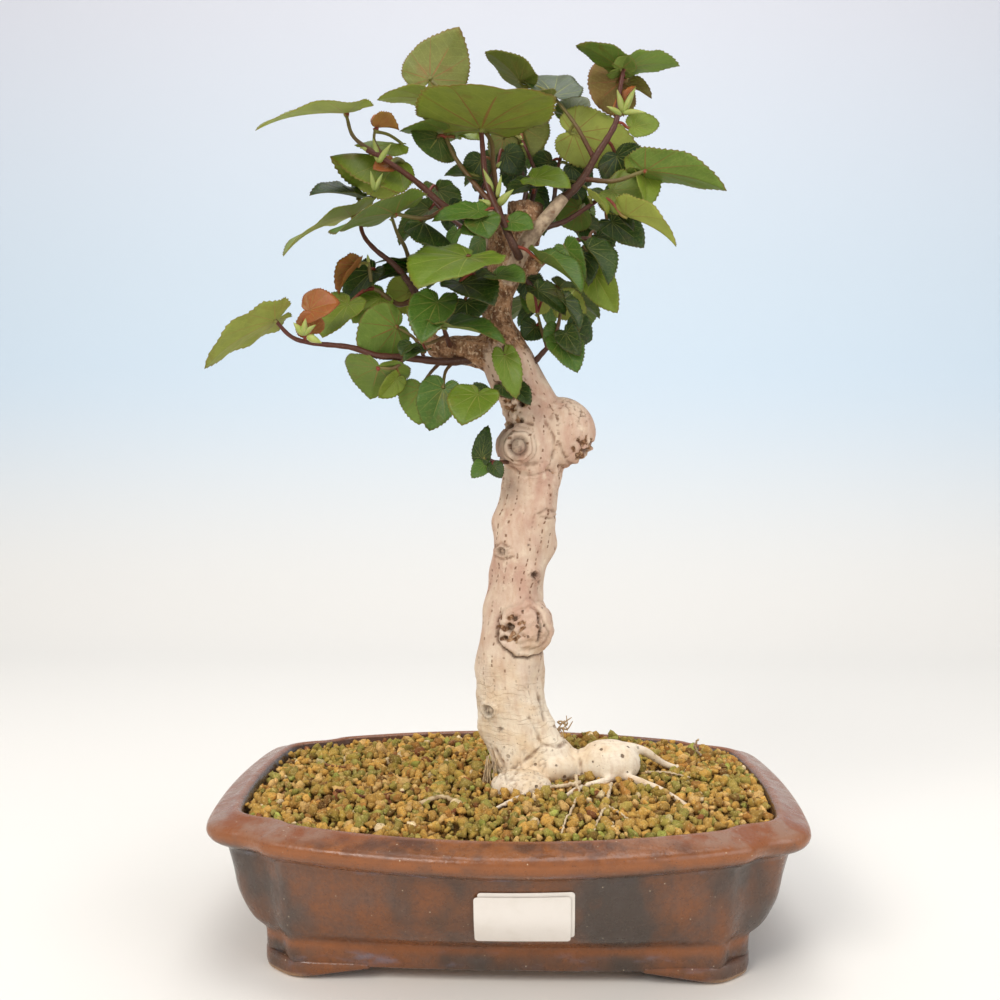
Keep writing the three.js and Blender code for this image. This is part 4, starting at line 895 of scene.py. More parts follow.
# Where the trunk's foot and its bulbs keep granules away: middle, reach across and to the back.
BULBS = [
    ((23, -9), 12.5, 8.5), ((52.6, -4), 14, 10.5), ((9.5, -26), 14.5, 12.5), ((13, 0), 21, 17),
    ((38, -3), 11, 8),
]


def clear_of_roots(x, y, size):
    """Whether a granule keeps off the trunk's foot, its bulbs and the thick roots."""
    x = x - PLANT_SHIFT[0]
    for (bx, by), rx, ry in BULBS:
        if ((x - bx) / (rx + size * 0.2)) ** 2 + ((y - by) / (ry + size * 0.2)) ** 2 < 1:
            return False
    for line, radii in ROOT_LINES:
        gaps = np.hypot(line[:, 0] - x, line[:, 1] - y)
        if (gaps < radii + size * 0.25).any():
            return False
    return True


def ball(detail):
    """Points and faces of a unit icosphere."""
    bpy.ops.mesh.primitive_ico_sphere_add(subdivisions=detail, radius=1)
    made = bpy.context.object
    points = np.array([v.co[:] for v in made.data.vertices])
    faces = [tuple(p.vertices) for p in made.data.polygons]
    bpy.data.objects.remove(made)
    return points, faces


# Flat sides of a granule, and how far from its middle they lie
FLAT_SIDES = 3
FLAT_AT = 0.6


def lumpy(points, pick, sizes, spin):
    """A granule: the ball cut flat on a few sides, dented and turned."""
    turn = np.array(Matrix.Rotation(spin, 3, Vector((pick.random(), pick.random(), pick.random() + 0.1))))
    phase = [pick.uniform(0, 6) for _ in range(5)]
    x, y, z = points.T
    dent = 1 + 0.2 * np.sin(3.1 * x + phase[0]) * np.cos(2.7 * y + phase[1])
    dent += 0.16 * np.sin(5.3 * z + phase[2] + 2 * x)
    dent += 0.12 * np.sin(8.1 * y + phase[3]) * np.cos(7.3 * x + phase[4])
    for _ in range(FLAT_SIDES):
        reach = points @ unit(np.array([pick.uniform(-1, 1) for _ in range(3)]))
        dent *= np.where(reach > FLAT_AT, FLAT_AT / np.maximum(reach, 0.1), 1)
    return ((points * dent[:, None]) * sizes) @ turn.T


# The bed under the granules: its gap to the wall, how far it lies under their surface, the heights
# of its lower rows and the number of rings on top.
BED_GAP = 0.5
BED_DROP = 1.8
BED_HEIGHTS = (16.35, 31, 46, 61)
BED_RINGS = 40


def make_soil(bed, granules):
    """The bed under the granules, and two layers of granules."""
    mesh = Mesh()
    rings = [inner_ring(z, BED_GAP) for z in BED_HEIGHTS]
    rim = inner_ring(SOIL_EDGE - 1.5, BED_GAP)
    for share in np.linspace(1, 0.02, BED_RINGS):
        rings.append(np.array([(x, y, soil_relief(x, y) - BED_DROP) for x, y in rim[:, :2] * share]))
    points = np.vstack(rings)
    faces = grid_faces(len(rings), WALL_POINTS) + end_faces(len(rings), WALL_POINTS)
    mesh.add(points, faces)
    settle(mesh.build("soil_bed", [bed]), ["soil"])
    for layer, seed in (("lower", 5), ("upper", 9)):
        scatter_granules(layer, seed, granules)


WALL_AT_SOIL = inner_ring(SOIL_EDGE + 1)


def inside_pot(x, y, margin):
    """Whether a point lies inside the pot's inner wall by a margin."""
    around = np.arctan2(WALL_AT_SOIL[:, 1], WALL_AT_SOIL[:, 0])
    reaches = np.hypot(WALL_AT_SOIL[:, 0], WALL_AT_SOIL[:, 1])
    return math.hypot(x, y) + margin < np.interp(math.atan2(y, x), around, reaches, period=2 * math.pi)


# Spacing of the granules by layer, and their least and greatest radius.
GRANULE_LAYERS = {"upper": (3.8, 1.2, 2.9), "lower": (4.4, 1.5, 2.4)}
# How far a granule lies off its place on the grid, and the share of the upper layer that is left out.
JITTER = 1.6
GAP_SHARE = 0.22
# The share of granules that are large, and how many times their drawn size these and the others have.
LARGE_SHARE, LARGE, COMMON = 0.1, 1.3, 0.95


def scatter_granules(layer, seed, granules):
    """Granules on a jittered grid, smaller and mixed between the big ones in the lower layer."""
    pick = random.Random(seed)
    points, faces = ball(2)
    spacing, low, high = GRANULE_LAYERS[layer]
    tones = [linear(code)[:3] for code, _ in GRANULE_TONES]
    weights = [weight for _, weight in GRANULE_TONES]
    mesh = Mesh()
    for gx in np.arange(-HALF_LENGTH, HALF_LENGTH, spacing):
        for gy in np.arange(-HALF_WIDTH, HALF_WIDTH, spacing):
            x, y = gx + pick.uniform(-JITTER, JITTER), gy + pick.uniform(-JITTER, JITTER)
            size = pick.uniform(low, high) * (LARGE if pick.random() < LARGE_SHARE else COMMON)
            tone = np.array(pick.choices(tones, weights)[0]) * pick.uniform(1.2, 2.0)
            sizes = [size * pick.uniform(0.7, 1.25) for _ in range(3)]
            spin = pick.uniform(0, 6)
            skip = layer == "upper" and pick.random() < GAP_SHARE
            if skip or not inside_pot(x, y, size * 0.8) or not clear_of_roots(x, y, size):
                continue
            lift = pick.uniform(0.1, 0.6) if layer == "upper" else -0.5
            grain = lumpy(points, pick, sizes, spin) + np.array([x, y, soil_relief(x, y) + lift * size])
            mesh.add(grain, faces, 0, tone=tone)
    settle(mesh.build(f"soil_granules_{layer}", [granules]))


# Trunk

# The trunk from below to above: height, middle across, half width and half depth.
TRUNK_ROWS = np.array([
    [48, 18, 15, 13], [66, 18, 21, 18], [84, 14.5, 22, 18], [94, 7.4, 19.1, 16], [103, 5.2, 17.3, 15.5],
    [113, 3.9, 16.6, 15], [131, 3.8, 16.1, 14.5], [141, 4.6, 15.6, 14], [152, 5.6, 15.1, 13.5],
    [165, 6.1, 13.4, 12.5], [173, 7.2, 13.9, 12.5], [180, 8.4, 14, 12.5], [192, 9.6, 14.8, 13],
    [205, 12.2, 14, 12.5], [220, 14.8, 14.7, 13], [233, 15.5, 15.5, 13], [247, 16, 16, 13],
    [256, 12.6, 14.7, 12.5], [266, 6.2, 14.7, 12.5], [280, 0.7, 13.7, 12], [288, -2, 10.4, 10],
    [296, -4, 7.6, 7.5], [303, -3.6, 6.8, 6.8], [311, -0.6, 6.6, 6.6], [318, 1.2, 9.4, 8.6],
    [326, 1.6, 11.2, 9.6], [341, 2, 10.6, 9], [346, 3, 7, 6],
])
# Swellings of the column: middle, rise and spread.
KNOTS = [
    ((-1, -12, 184), 2.2, 6), ((16, -12, 172), 3, 6), ((22, -12, 201), 2.5, 6), ((24, 0, 185), 2.5, 7),
    ((-6, 0, 200), 2.5, 7), ((-15, 0, 124), 2.5, 8), ((-7, -14, 106), 2.5, 6), ((22, -6, 98), 2.5, 6),
    ((11, -14, 146), 5, 11), ((7.5, -14, 233), 5, 10),
]
# Limbs, stubs and the bar to the right bulb: path, radius at its start and at its end.
LIMBS = [
    (
        [(-2, 0, 277), (-14, -1, 280), (-24, -3, 281), (-33, -4, 282), (-40, -3, 290), (-43, -1, 303)],
        9.5, 2.6,
    ),
    ([(2, -4, 316), (7, -6, 327), (17, -7, 340), (28.5, -6, 354)], 4.2, 3),
    ([(-5, 0, 326), (-6.4, 0, 340), (-7, 0, 359)], 3.4, 2.3),
    ([(8, 3, 333), (9.5, 3, 344), (10.2, 3, 353)], 9.4, 9),
    ([(6, 3, 317), (13, 4, 321.5), (21, 4, 326.5), (31.5, 4, 332.5)], 3, 1.9),
    ([(24, -3, 76), (38, -3, 76), (50, -3, 77)], 9, 9),
]
# Burls and bulbs: middle and half sizes. The last one is the big healed knot.
LUMPS = [
    ((7.5, -9.5, 233.2), (11.4, 9.5, 11.2)), ((27, -1, 240.5), (18, 12, 17.4)),
    ((13.5, -2, 322), (5, 5, 5.2)), ((23, -9, 77.5), (14, 10, 8.6)),
    ((52.6, -4, 78.5), (15.3, 12, 11.6)), ((9.5, -24, 72), (14.6, 11.5, 7.8)),
    ((12, -8.5, 145.5), (12.6, 9.5, 12.6)),
]
# Thick roots on the soil, as paths whose height is over the soil, with both radii.
ROOTS = [
    ([(60, -3, 14), (70, 2, 11), (80, 8, 4), (89, 12, 0), (96, 15, -3)], 3.4, 1.7),
    ([(56, -12, 1), (47, -20, 0.6), (38, -27, 0.4), (28, -40, -1)], 2.6, 1.6),
    ([(58, -12, 2), (70, -20, 0.6), (78, -30, 0.2), (87, -43, -1.6)], 3, 1.5),
    ([(14, -30, 0), (8, -44, 0.4), (-4, -56, -0.6)], 2, 1.2),
]
# How much slimmer the roots are here than in the CAD model
ROOT_SLIM = 0.78
# Fineness of the skin that all these parts are melted into
VOXEL = 0.8
# Points along each limb and root
LINE_POINTS = 40
COLUMN_SIDES = 72
COLUMN_STEP = 1.6
WIDE_RIPPLE = 0.035
FINE_RIPPLE = 0.02


def rooted(path):
    """A path whose heights are over the soil, as real places."""
    return [(x, y, soil_height(x + PLANT_SHIFT[0], y) + lift) for x, y, lift in path]


def root_line(path, start, end):
    line = smooth_line(rooted(path), LINE_POINTS)
    return line, np.linspace(start, end, LINE_POINTS) * ROOT_SLIM


ROOT_LINES = [root_line(*root) for root in ROOTS]


def trunk_row(z):
    """Middle across, half width and half depth of the trunk at heights z."""
    return [np.interp(z, TRUNK_ROWS[:, 0], TRUNK_ROWS[:, k]) for k in (1, 2, 3)]


def add_column(mesh):
    """The upright trunk, rippled and swollen at its knots."""
    heights = np.arange(56, 346.5, COLUMN_STEP)
    kernel = np.hanning(9) / np.hanning(9).sum()
    rows = [np.convolve(np.pad(row, 4, "edge"), kernel, "valid") for row in trunk_row(heights)]
    angles = np.arange(COLUMN_SIDES) * 2 * math.pi / COLUMN_SIDES
    rings = []
    for z, middle, wide, deep in zip(heights, *rows):
        ripple = 1 + WIDE_RIPPLE * np.sin(3 * angles + z * 0.11)
        ripple += FINE_RIPPLE * np.sin(5 * angles - z * 0.3)
        skin = np.column_stack([middle + wide * ripple * np.cos(angles), deep * ripple * np.sin(angles),
                                np.full(COLUMN_SIDES, z)])
        out = np.zeros(COLUMN_SIDES)
        for spot, rise, spread in KNOTS:
            out += rise * ridge(np.linalg.norm(skin - spot, axis=1), 0, spread)
        skin[:, 0] += out * np.cos(angles)
        skin[:, 1] += out * np.sin(angles)
        rings.append(skin)
    points = np.vstack(rings)
    faces = grid_faces(len(rings), COLUMN_SIDES) + end_faces(len(rings), COLUMN_SIDES)
    mesh.add(points, faces)


def trunk_skin():
    """The column, limbs, burls and roots melted into one skin."""
    mesh = Mesh()
    add_column(mesh)
    for path, start, end in LIMBS:
        add_tube(mesh, smooth_line(path, LINE_POINTS), np.linspace(start, end, LINE_POINTS), 28)
    for line, radii in ROOT_LINES:
        add_tube(mesh, line, radii, 16)
    points, faces = ball(5)
    for middle, half in LUMPS:
        mesh.add(points * half + middle, faces)
    trunk = mesh.build("trunk_skin", [])
    melt = trunk.modifiers.new("melt", "REMESH")
    melt.mode = "VOXEL"
    melt.voxel_size = VOXEL * MM
    soften = trunk.modifiers.new("soften", "SMOOTH")
    soften.factor = 0.5
    soften.iterations = 5
    bake(trunk)
    return trunk


# Old wounds, healed over in rings: middle across and up, radius of the bare heart and of the rings.
WOUNDS = [
    ((7, 233.5), 3.5, 11.5), ((-6.7, 105.4), 1.9, 5.6), ((-0.6, 182.8), 1.1, 4.4),
    ((-0.5, 97), 0.7, 1.9), ((15.3, 171.7), 1.2, 3.4),
]
# Holes: middle across and up, radius, depth.
HOLES = [
    ((15.3, 171.7), 1.2, 2.2), ((17.4, 168), 0.7, 1), ((3.4, 146.5), 2.1, 2.6), ((1.5, 141.5), 1.1, 1.6),
    ((6.3, 151), 1.3, 1.6), ((40.5, 231.5), 1.6, 1.8), ((43.3, 235), 1.3, 1.6), ((38, 226), 1.2, 1.5),
    ((12.5, 186), 0.5, 0.7), ((-2, 228), 0.6, 0.8), ((1, 259), 2.4, 2.6), ((-3, 263), 1.9, 2.2),
    ((8, 254), 1.7, 2.2), ((-4.5, 250), 1.4, 1.6), ((3, 243.5), 1.7, 2.2), ((-0.5, 246.5), 1.7, 2),
    ((8.5, 246), 1.2, 1.5),
]
# Rough broken patches: middle and reach across and up, share of dark bark.
SCARS = [
    ((4.5, 146), (7.5, 7), 0.9), ((40.5, 231), (7.5, 7.5), 0.9), ((3, 257), (9, 8), 0.9),
    ((28, 222), (8, 3), 0.45), ((1, 250), (8, 7), 0.6),
]
# The big healed knot: middle and reach across and up.
KNOT_DISC = ((11.6, 145.4), (14.2, 13.6))
# Creases along lines given as points across and up.
CREASES = [
    [(13, 103), (16, 97), (19.5, 89)], [(20, 90), (12, 83), (4, 77)], [(19.5, 90), (27, 88), (35, 89)],
    [(37, 94), (37.5, 84), (39.5, 72)], [(-4.6, 250), (-1, 245), (1.7, 241)], [(-9, 86), (-6, 76)],
    [(-6, 88), (-2, 77)], [(-3, 86), (3, 76)], [(26, 97), (33, 89)], [(17, 113), (21, 101)],
    [(2, 226), (7, 221), (14, 219.5), (22, 222)], [(4, 229), (11, 224.5), (19, 226)],
    [(20, 246), (24, 238), (24, 228)], [(27, 234), (31, 226), (34, 224)], [(-10, 80), (-9, 73)],
    [(-3, 241), (2, 243), (8, 245.5), (14, 244)], [(17, 201), (21, 203.5), (26, 201.5)],
    [(18, 199.6), (22, 198.6), (26, 199.6)], [(-5, 184), (-1, 187), (4, 184.5)],
    [(-4, 180), (0, 178.5), (5, 180.5)],
]


def flat_distance(points, middle):
    """How far points of the front lie from a place across and up."""
    return np.hypot(points[:, 0] - middle[0], points[:, 2] - middle[1])


def front_share(points):
    """1 on the trunk's front and 0 behind, where the photograph shows nothing."""
    return 1 - fade(points[:, 1], -3, 4)


def wound_marks(points):
    """Rings, cracks and a sunken rim round the bare heart of each old wound, with painted shade in the sunken
    rim, the rings' troughs and the holes.
    """
    push, dark, groove = np.zeros(len(points)), np.zeros(len(points)), np.zeros(len(points))
    wander, fine, front = noises(points, 6, 3), noises(points, 1.6, 8), front_share(points)
    for middle, heart, outer in WOUNDS:
        r = flat_distance(points, middle) * (1 + 0.2 * wander)
        room = (outer - heart) / 3
        moat = ridge(r, heart * 1.12, 0.26 * room + 0.18) * front
        collar = ridge(r - heart, room * 0.85, room * 0.55) * front
        rings = np.cos(2 * math.pi * (r - heart) / (room * 0.9))
        window = fade(r, heart * 1.4, heart * 1.4 + room) * (1 - fade(r, outer * 0.7, outer * 1.1)) * front
        inside = (1 - fade(r, heart * 0.8, heart * 1.05)) * front
        push += 1.2 * collar - 1.5 * moat + 0.3 * rings * window + inside * (0.7 * fine - 0.4)
        dark = np.maximum(dark, np.maximum(moat * 0.95, inside * (0.4 + 0.6 * np.clip(fine * 2, 0, 1))))
        groove = np.maximum(groove, window * np.clip(-rings, 0, 1) ** 4 * (0.6 + 0.4 * wander))
    for middle, radius, depth in HOLES:
        r = flat_distance(points, middle) * (1 + 0.25 * fine)
        inside = (1 - fade(r, radius * 0.65, radius * 1.2)) * front
        push += 0.35 * front * ridge(r, radius * 1.6, radius * 0.5) - depth * inside
        dark = np.maximum(dark, inside)
    return push, dark, groove


def scar_marks(points):
    """Rough patches where old wood is laid bare."""
    push, brown = np.zeros(len(points)), np.zeros(len(points))
    coarse, front = noises(points, 2.2, 11), front_share(points)
    for middle, (wide, tall), share in SCARS:
        r = np.hypot((points[:, 0] - middle[0]) / wide, (points[:, 2] - middle[1]) / tall) + 0.45 * coarse
        patch = (1 - fade(r, 0.7, 1.1)) * front
        push += patch * (1.7 * coarse - 0.4)
        brown = np.maximum(brown, patch * share * (0.5 + 0.9 * np.clip(-coarse * 1.6, -0.4, 1)))
    return push, np.clip(brown, 0, 1)


def knot_marks(points):
    """The big healed knot: a swollen lip over a deep fold, lumps inside and a split to the right. The fold,
    darkest under the lip, and the split are painted dark as shade.
    """
    middle, (wide, tall) = KNOT_DISC
    dx, dz = (points[:, 0] - middle[0]) / wide, (points[:, 2] - middle[1]) / tall
    r = np.hypot(dx, dz) * (1 + 0.16 * noises(points, 8, 13) + 0.08 * noises(points, 3, 14))
    front = front_share(points)
    # Where the lip overhangs the fold, the painted shadow in the fold is darkest.
    under = np.clip(0.45 - 0.8 * dz - 0.35 * dx, 0.15, 1)
    lip = ridge(r, 0.84, 0.1) * (0.55 + 0.45 * under)
    moat = ridge(r, 1.03, 0.05) * under
    lumps = noises(points, 2.7, 21) * (1 - fade(r, 0.6, 0.8))
    bent = points[:, 0] - 18.4 + 0.03 * (points[:, 2] - 146) ** 2 - 1.0 * noises(points, 3, 15)
    split = (1 - fade(np.abs(bent), 0.3, 1.1)) * (1 - fade(np.abs(points[:, 2] - 146.5), 6, 8.5))
    ring = ridge(r, 0.7, 0.03) * (dx > 0.1)
    push = front * (1.6 * lip - 1.9 * moat + 1.2 * lumps - 1.5 * split - 0.3 * ring)
    return push, front * np.maximum(split * 0.8, moat * 0.75), front * np.maximum(0.95 * moat, 0.6 * ring)


def line_distance(points, line):
    """How far points lie from a line of places across and up."""
    best = np.full(len(points), np.inf)
    spots = points[:, [0, 2]]
    for start, end in zip(np.array(line[:-1], float), np.array(line[1:], float)):
        along = end - start
        share = np.clip(((spots - start) @ along) / (along @ along), 0, 1)
        best = np.minimum(best, np.linalg.norm(spots - start - share[:, None] * along, axis=1))
    return best


def crease_marks(points):
    """Creases at the foot and round the burls, cracks on the right burl and low folds; the creases and cracks
    are also painted dark as shade.
    """
    x, _, z = points.T
    front = front_share(points)
    bend = 0.9 * noises(points, 4, 6)
    groove = np.zeros(len(points))
    for line in CREASES:
        groove = np.maximum(groove, 1 - fade(line_distance(points, line) + bend, 0.1, 1.0))
    groove *= np.clip(0.75 + 0.9 * noises(points, 3, 17), 0.25, 1)
    veins = 1 - fade(np.abs(noises(points, 3.4, 31)), 0.015, 0.07)
    top = 1 - fade(np.hypot((x - 33) / 14, (z - 251) / 9), 0.6, 1.1)
    fan = 1 - fade(np.abs(noises(points * (1, 1, 0.5), 2.6, 33)), 0.015, 0.08)
    cracked = np.maximum(veins * top, 0.7 * fan * (1 - fade(z, 84, 92)) * fade(z, 66, 70) * (x < 22))
    groove = np.maximum(groove, cracked * 0.9) * front
    folded = fade(z, 80, 90) * (1 - fade(z, 118, 134)) * 0.6
    folded += fade(z, 205, 215) * (1 - fade(z, 222, 230)) * 0.4
    wave = np.sin(2 * math.pi * (z / 4.4 + 0.07 * x + 1.7 * noises(points, 18, 2)))
    return groove * 0.8, -1.0 * groove + 0.14 * wave * folded, np.clip(folded, 0, 1)


def rough_share(points):
    """Where the bark is rough and brown: the left limb, the neck's front and the head."""
    x, y, z = points.T
    limb = (1 - fade(x, -16, -5)) * fade(z, 258, 268)
    neck = fade(z, 268, 290) * 0.72
    head = fade(z, 312, 322) * 0.85
    cap = fade(z, 349, 351) * (x > 2) * (x < 19) * 0.8
    return np.clip(np.maximum(limb, np.maximum(neck, head)), 0, 1), cap


def grey_share(points):
    """The smooth grey limbs of the head."""
    share = np.zeros(len(points))
    for path, start, end in (LIMBS[1], LIMBS[2]):
        line = smooth_line(path, 30)
        for middle, radius in zip(line, np.linspace(start, end, 30)):
            r = np.linalg.norm(points - middle, axis=1)
            share = np.maximum(share, 1 - fade(r, radius * 1.05, radius * 1.35))
    return share


def pitted_share(points):
    """Where small dark pits are sprinkled: the bulbs at the foot, the trunk's foot and the big knot."""
    share = np.zeros(len(points))
    for middle, half in LUMPS[3:]:
        r = np.linalg.norm((points - np.array(middle)) / half, axis=1)
        share = np.maximum(share, 1 - fade(r, 1.0, 1.25))
    return np.maximum(share, 0.55 * (1 - fade(points[:, 2], 86, 100)))


def read_points(mesh, key):
    """The places or the normals of a mesh's points."""
    flat = np.zeros(len(mesh.vertices) * 3)
    mesh.vertices.foreach_get(key, flat)
    return flat.reshape(-1, 3)


# Millimetres of bark for a turn by one radian, so that the marks keep their size round the trunk
WRAP_RADIUS = 14


def wrapped(points):
    """Places on the trunk as millimetres round it, with the seam behind, and upward."""
    angle = np.arctan2(points[:, 1], points[:, 0] - trunk_row(points[:, 2])[0])
    turned = np.where(angle > math.pi / 2, angle - 2 * math.pi, angle)
    return np.column_stack([turned * WRAP_RADIUS, points[:, 2]])


def make_trunk(bark):
    """The trunk's skin, pushed in and out by all its marks, which it also carries for its bark."""
    trunk = trunk_skin()
    mesh = trunk.data
    points, normals = read_points(mesh, "co") / MM, read_points(mesh, "normal")
    push, dark, groove = wound_marks(points)
    scar_push, scarred = scar_marks(points)
    knot_push, knot_shade, knot_crease_shade = knot_marks(points)
    crease_shade, crease_push, folded = crease_marks(points)
    rough, cap = rough_share(points)
    grey = grey_share(points)
    rough = np.maximum(rough * (1 - grey), scarred)
    crust = noises(points * (1, 1, 0.6), 3.0, 4)
    push += scar_push + knot_push + crease_push + rough * (0.8 * crust - 0.3) + 0.4 * noises(points, 8, 5)
    points = points + normals * push[:, None]
    mesh.vertices.foreach_set("co", ((points + PLANT_SHIFT) * MM).ravel())
    # dark and groove carry painted shade; dark also carries the bare wood's own dark tone.
    dark = np.clip(np.max([dark, knot_shade, cap], axis=0), 0, 1)
    groove = np.max([groove, knot_crease_shade, crease_shade], axis=0)
    values = {"dark": dark, "groove": groove, "rough_bark": rough, "grey": grey * 0.8, "folded": folded,
              "pitted": pitted_share(points), "wrap": wrapped(points)}
    for key, data in values.items():
        write_value(mesh, key, [(0, data)])
    mesh.polygons.foreach_set("use_smooth", [True] * len(mesh.polygons))
    mesh.materials.clear()
    mesh.materials.append(bark)
    mesh.update()
    trunk.name = "trunk_bark"
    settle(trunk, ["trunk"])


# Thin roots and dry bits on the soil: points with a lift over it, start and end radius, tone.
ROOTLETS = [
    (
        [(36, -17, 3), (35.5, -28, 2.4), (36, -40, 2), (33, -56, 1.6), (29, -72, 1.2), (27, -84, 0.6)],
        0.85, 0.4, "d9c3a0",
    ),
    ([(52, -26, 2.4), (50, -40, 2), (48, -52, 1.8), (44, -68, 1.4), (40, -84, 0.8)], 0.9, 0.45, "d9c3a0"),
    ([(48, -54, 1.8), (52, -60, 1.6), (58, -70, 1)], 0.6, 0.35, "d2bb96"),
    ([(38, -27, 2.4), (24, -33, 2.2), (15, -38, 1.2)], 1.1, 0.6, "d9c3a0"),
    ([(-78, -29, 2.2), (-70, -36, 2.4), (-62, -41, 2.2), (-53, -40, 2.4), (-45, -36, 2)], 0.7, 0.5, "5a2c1f"),
    ([(-36, -52, 2), (-27, -47, 2.8), (-20, -50, 1.6)], 1.1, 0.9, "cdb58c"),
    ([(104, 40, 2), (100, 34, 7), (101, 30, 12)], 0.7, 0.5, "c9b494"),
    ([(-92, 20, 2), (-86, 12, 2.6), (-80, 10, 2)], 0.6, 0.4, "8a5a3a"),
    ([(70, -8, 3), (80, -4, 2.4), (92, -6, 1.4)], 0.7, 0.4, "d2bb96"),
]
# The dry tuft: middle and number of strings. Then the number of hair roots, and their colours.
TUFT = ((27.5, -2, 95), 11)
HAIR_ROOTS = 12
TUFT_TONE, HAIR_TONE = "b59a74", "bfa884"
STRING_POINTS = 12


def add_string(mesh, path, start, end, tone):
    """A thin string along a short path, from its start radius to its end radius."""
    line = smooth_line(path, STRING_POINTS)
    add_tube(mesh, line, np.linspace(start, end, STRING_POINTS), 6, tone=tone_of(tone))


def make_rootlets(material):
    """Root strings and twigs on the soil, a dry tuft at the trunk's foot and hair roots to its left."""
    mesh, pick = Mesh(), random.Random(31)
    for path, start, end, tone in ROOTLETS:
        line = smooth_line(rooted(path), 8 * len(path))
        line += np.array([[pick.uniform(-0.35, 0.35) for _ in range(3)] for _ in line])
        add_tube(mesh, line, np.linspace(start, end, len(line)), 8, tone=tone_of(tone))
    middle, count = TUFT
    for _ in range(count):
        foot = np.array(middle) + (pick.uniform(-3, 2), pick.uniform(-3, 3), pick.uniform(-4, 3))
        path = []
        for k in (0, 1, 2):
            step = [pick.uniform(0.5, 3.5) * k, pick.uniform(-2, 2), pick.uniform(-2.5, 3) * k]
            path.append(foot + np.array(step))
        add_string(mesh, path, 0.5, 0.2, TUFT_TONE)
    for _ in range(HAIR_ROOTS):
        x, top = pick.uniform(-8, -2), pick.uniform(78, 84)
        path = [(x, -12, top), (x - 0.6, -15, top - 4), (x + pick.uniform(-2.5, 1.5), -19, 70)]
        add_string(mesh, path, 0.35, 0.25, HAIR_TONE)
    settle(mesh.build("root_strings", [material], shift=PLANT_SHIFT))


# Leafy shoots

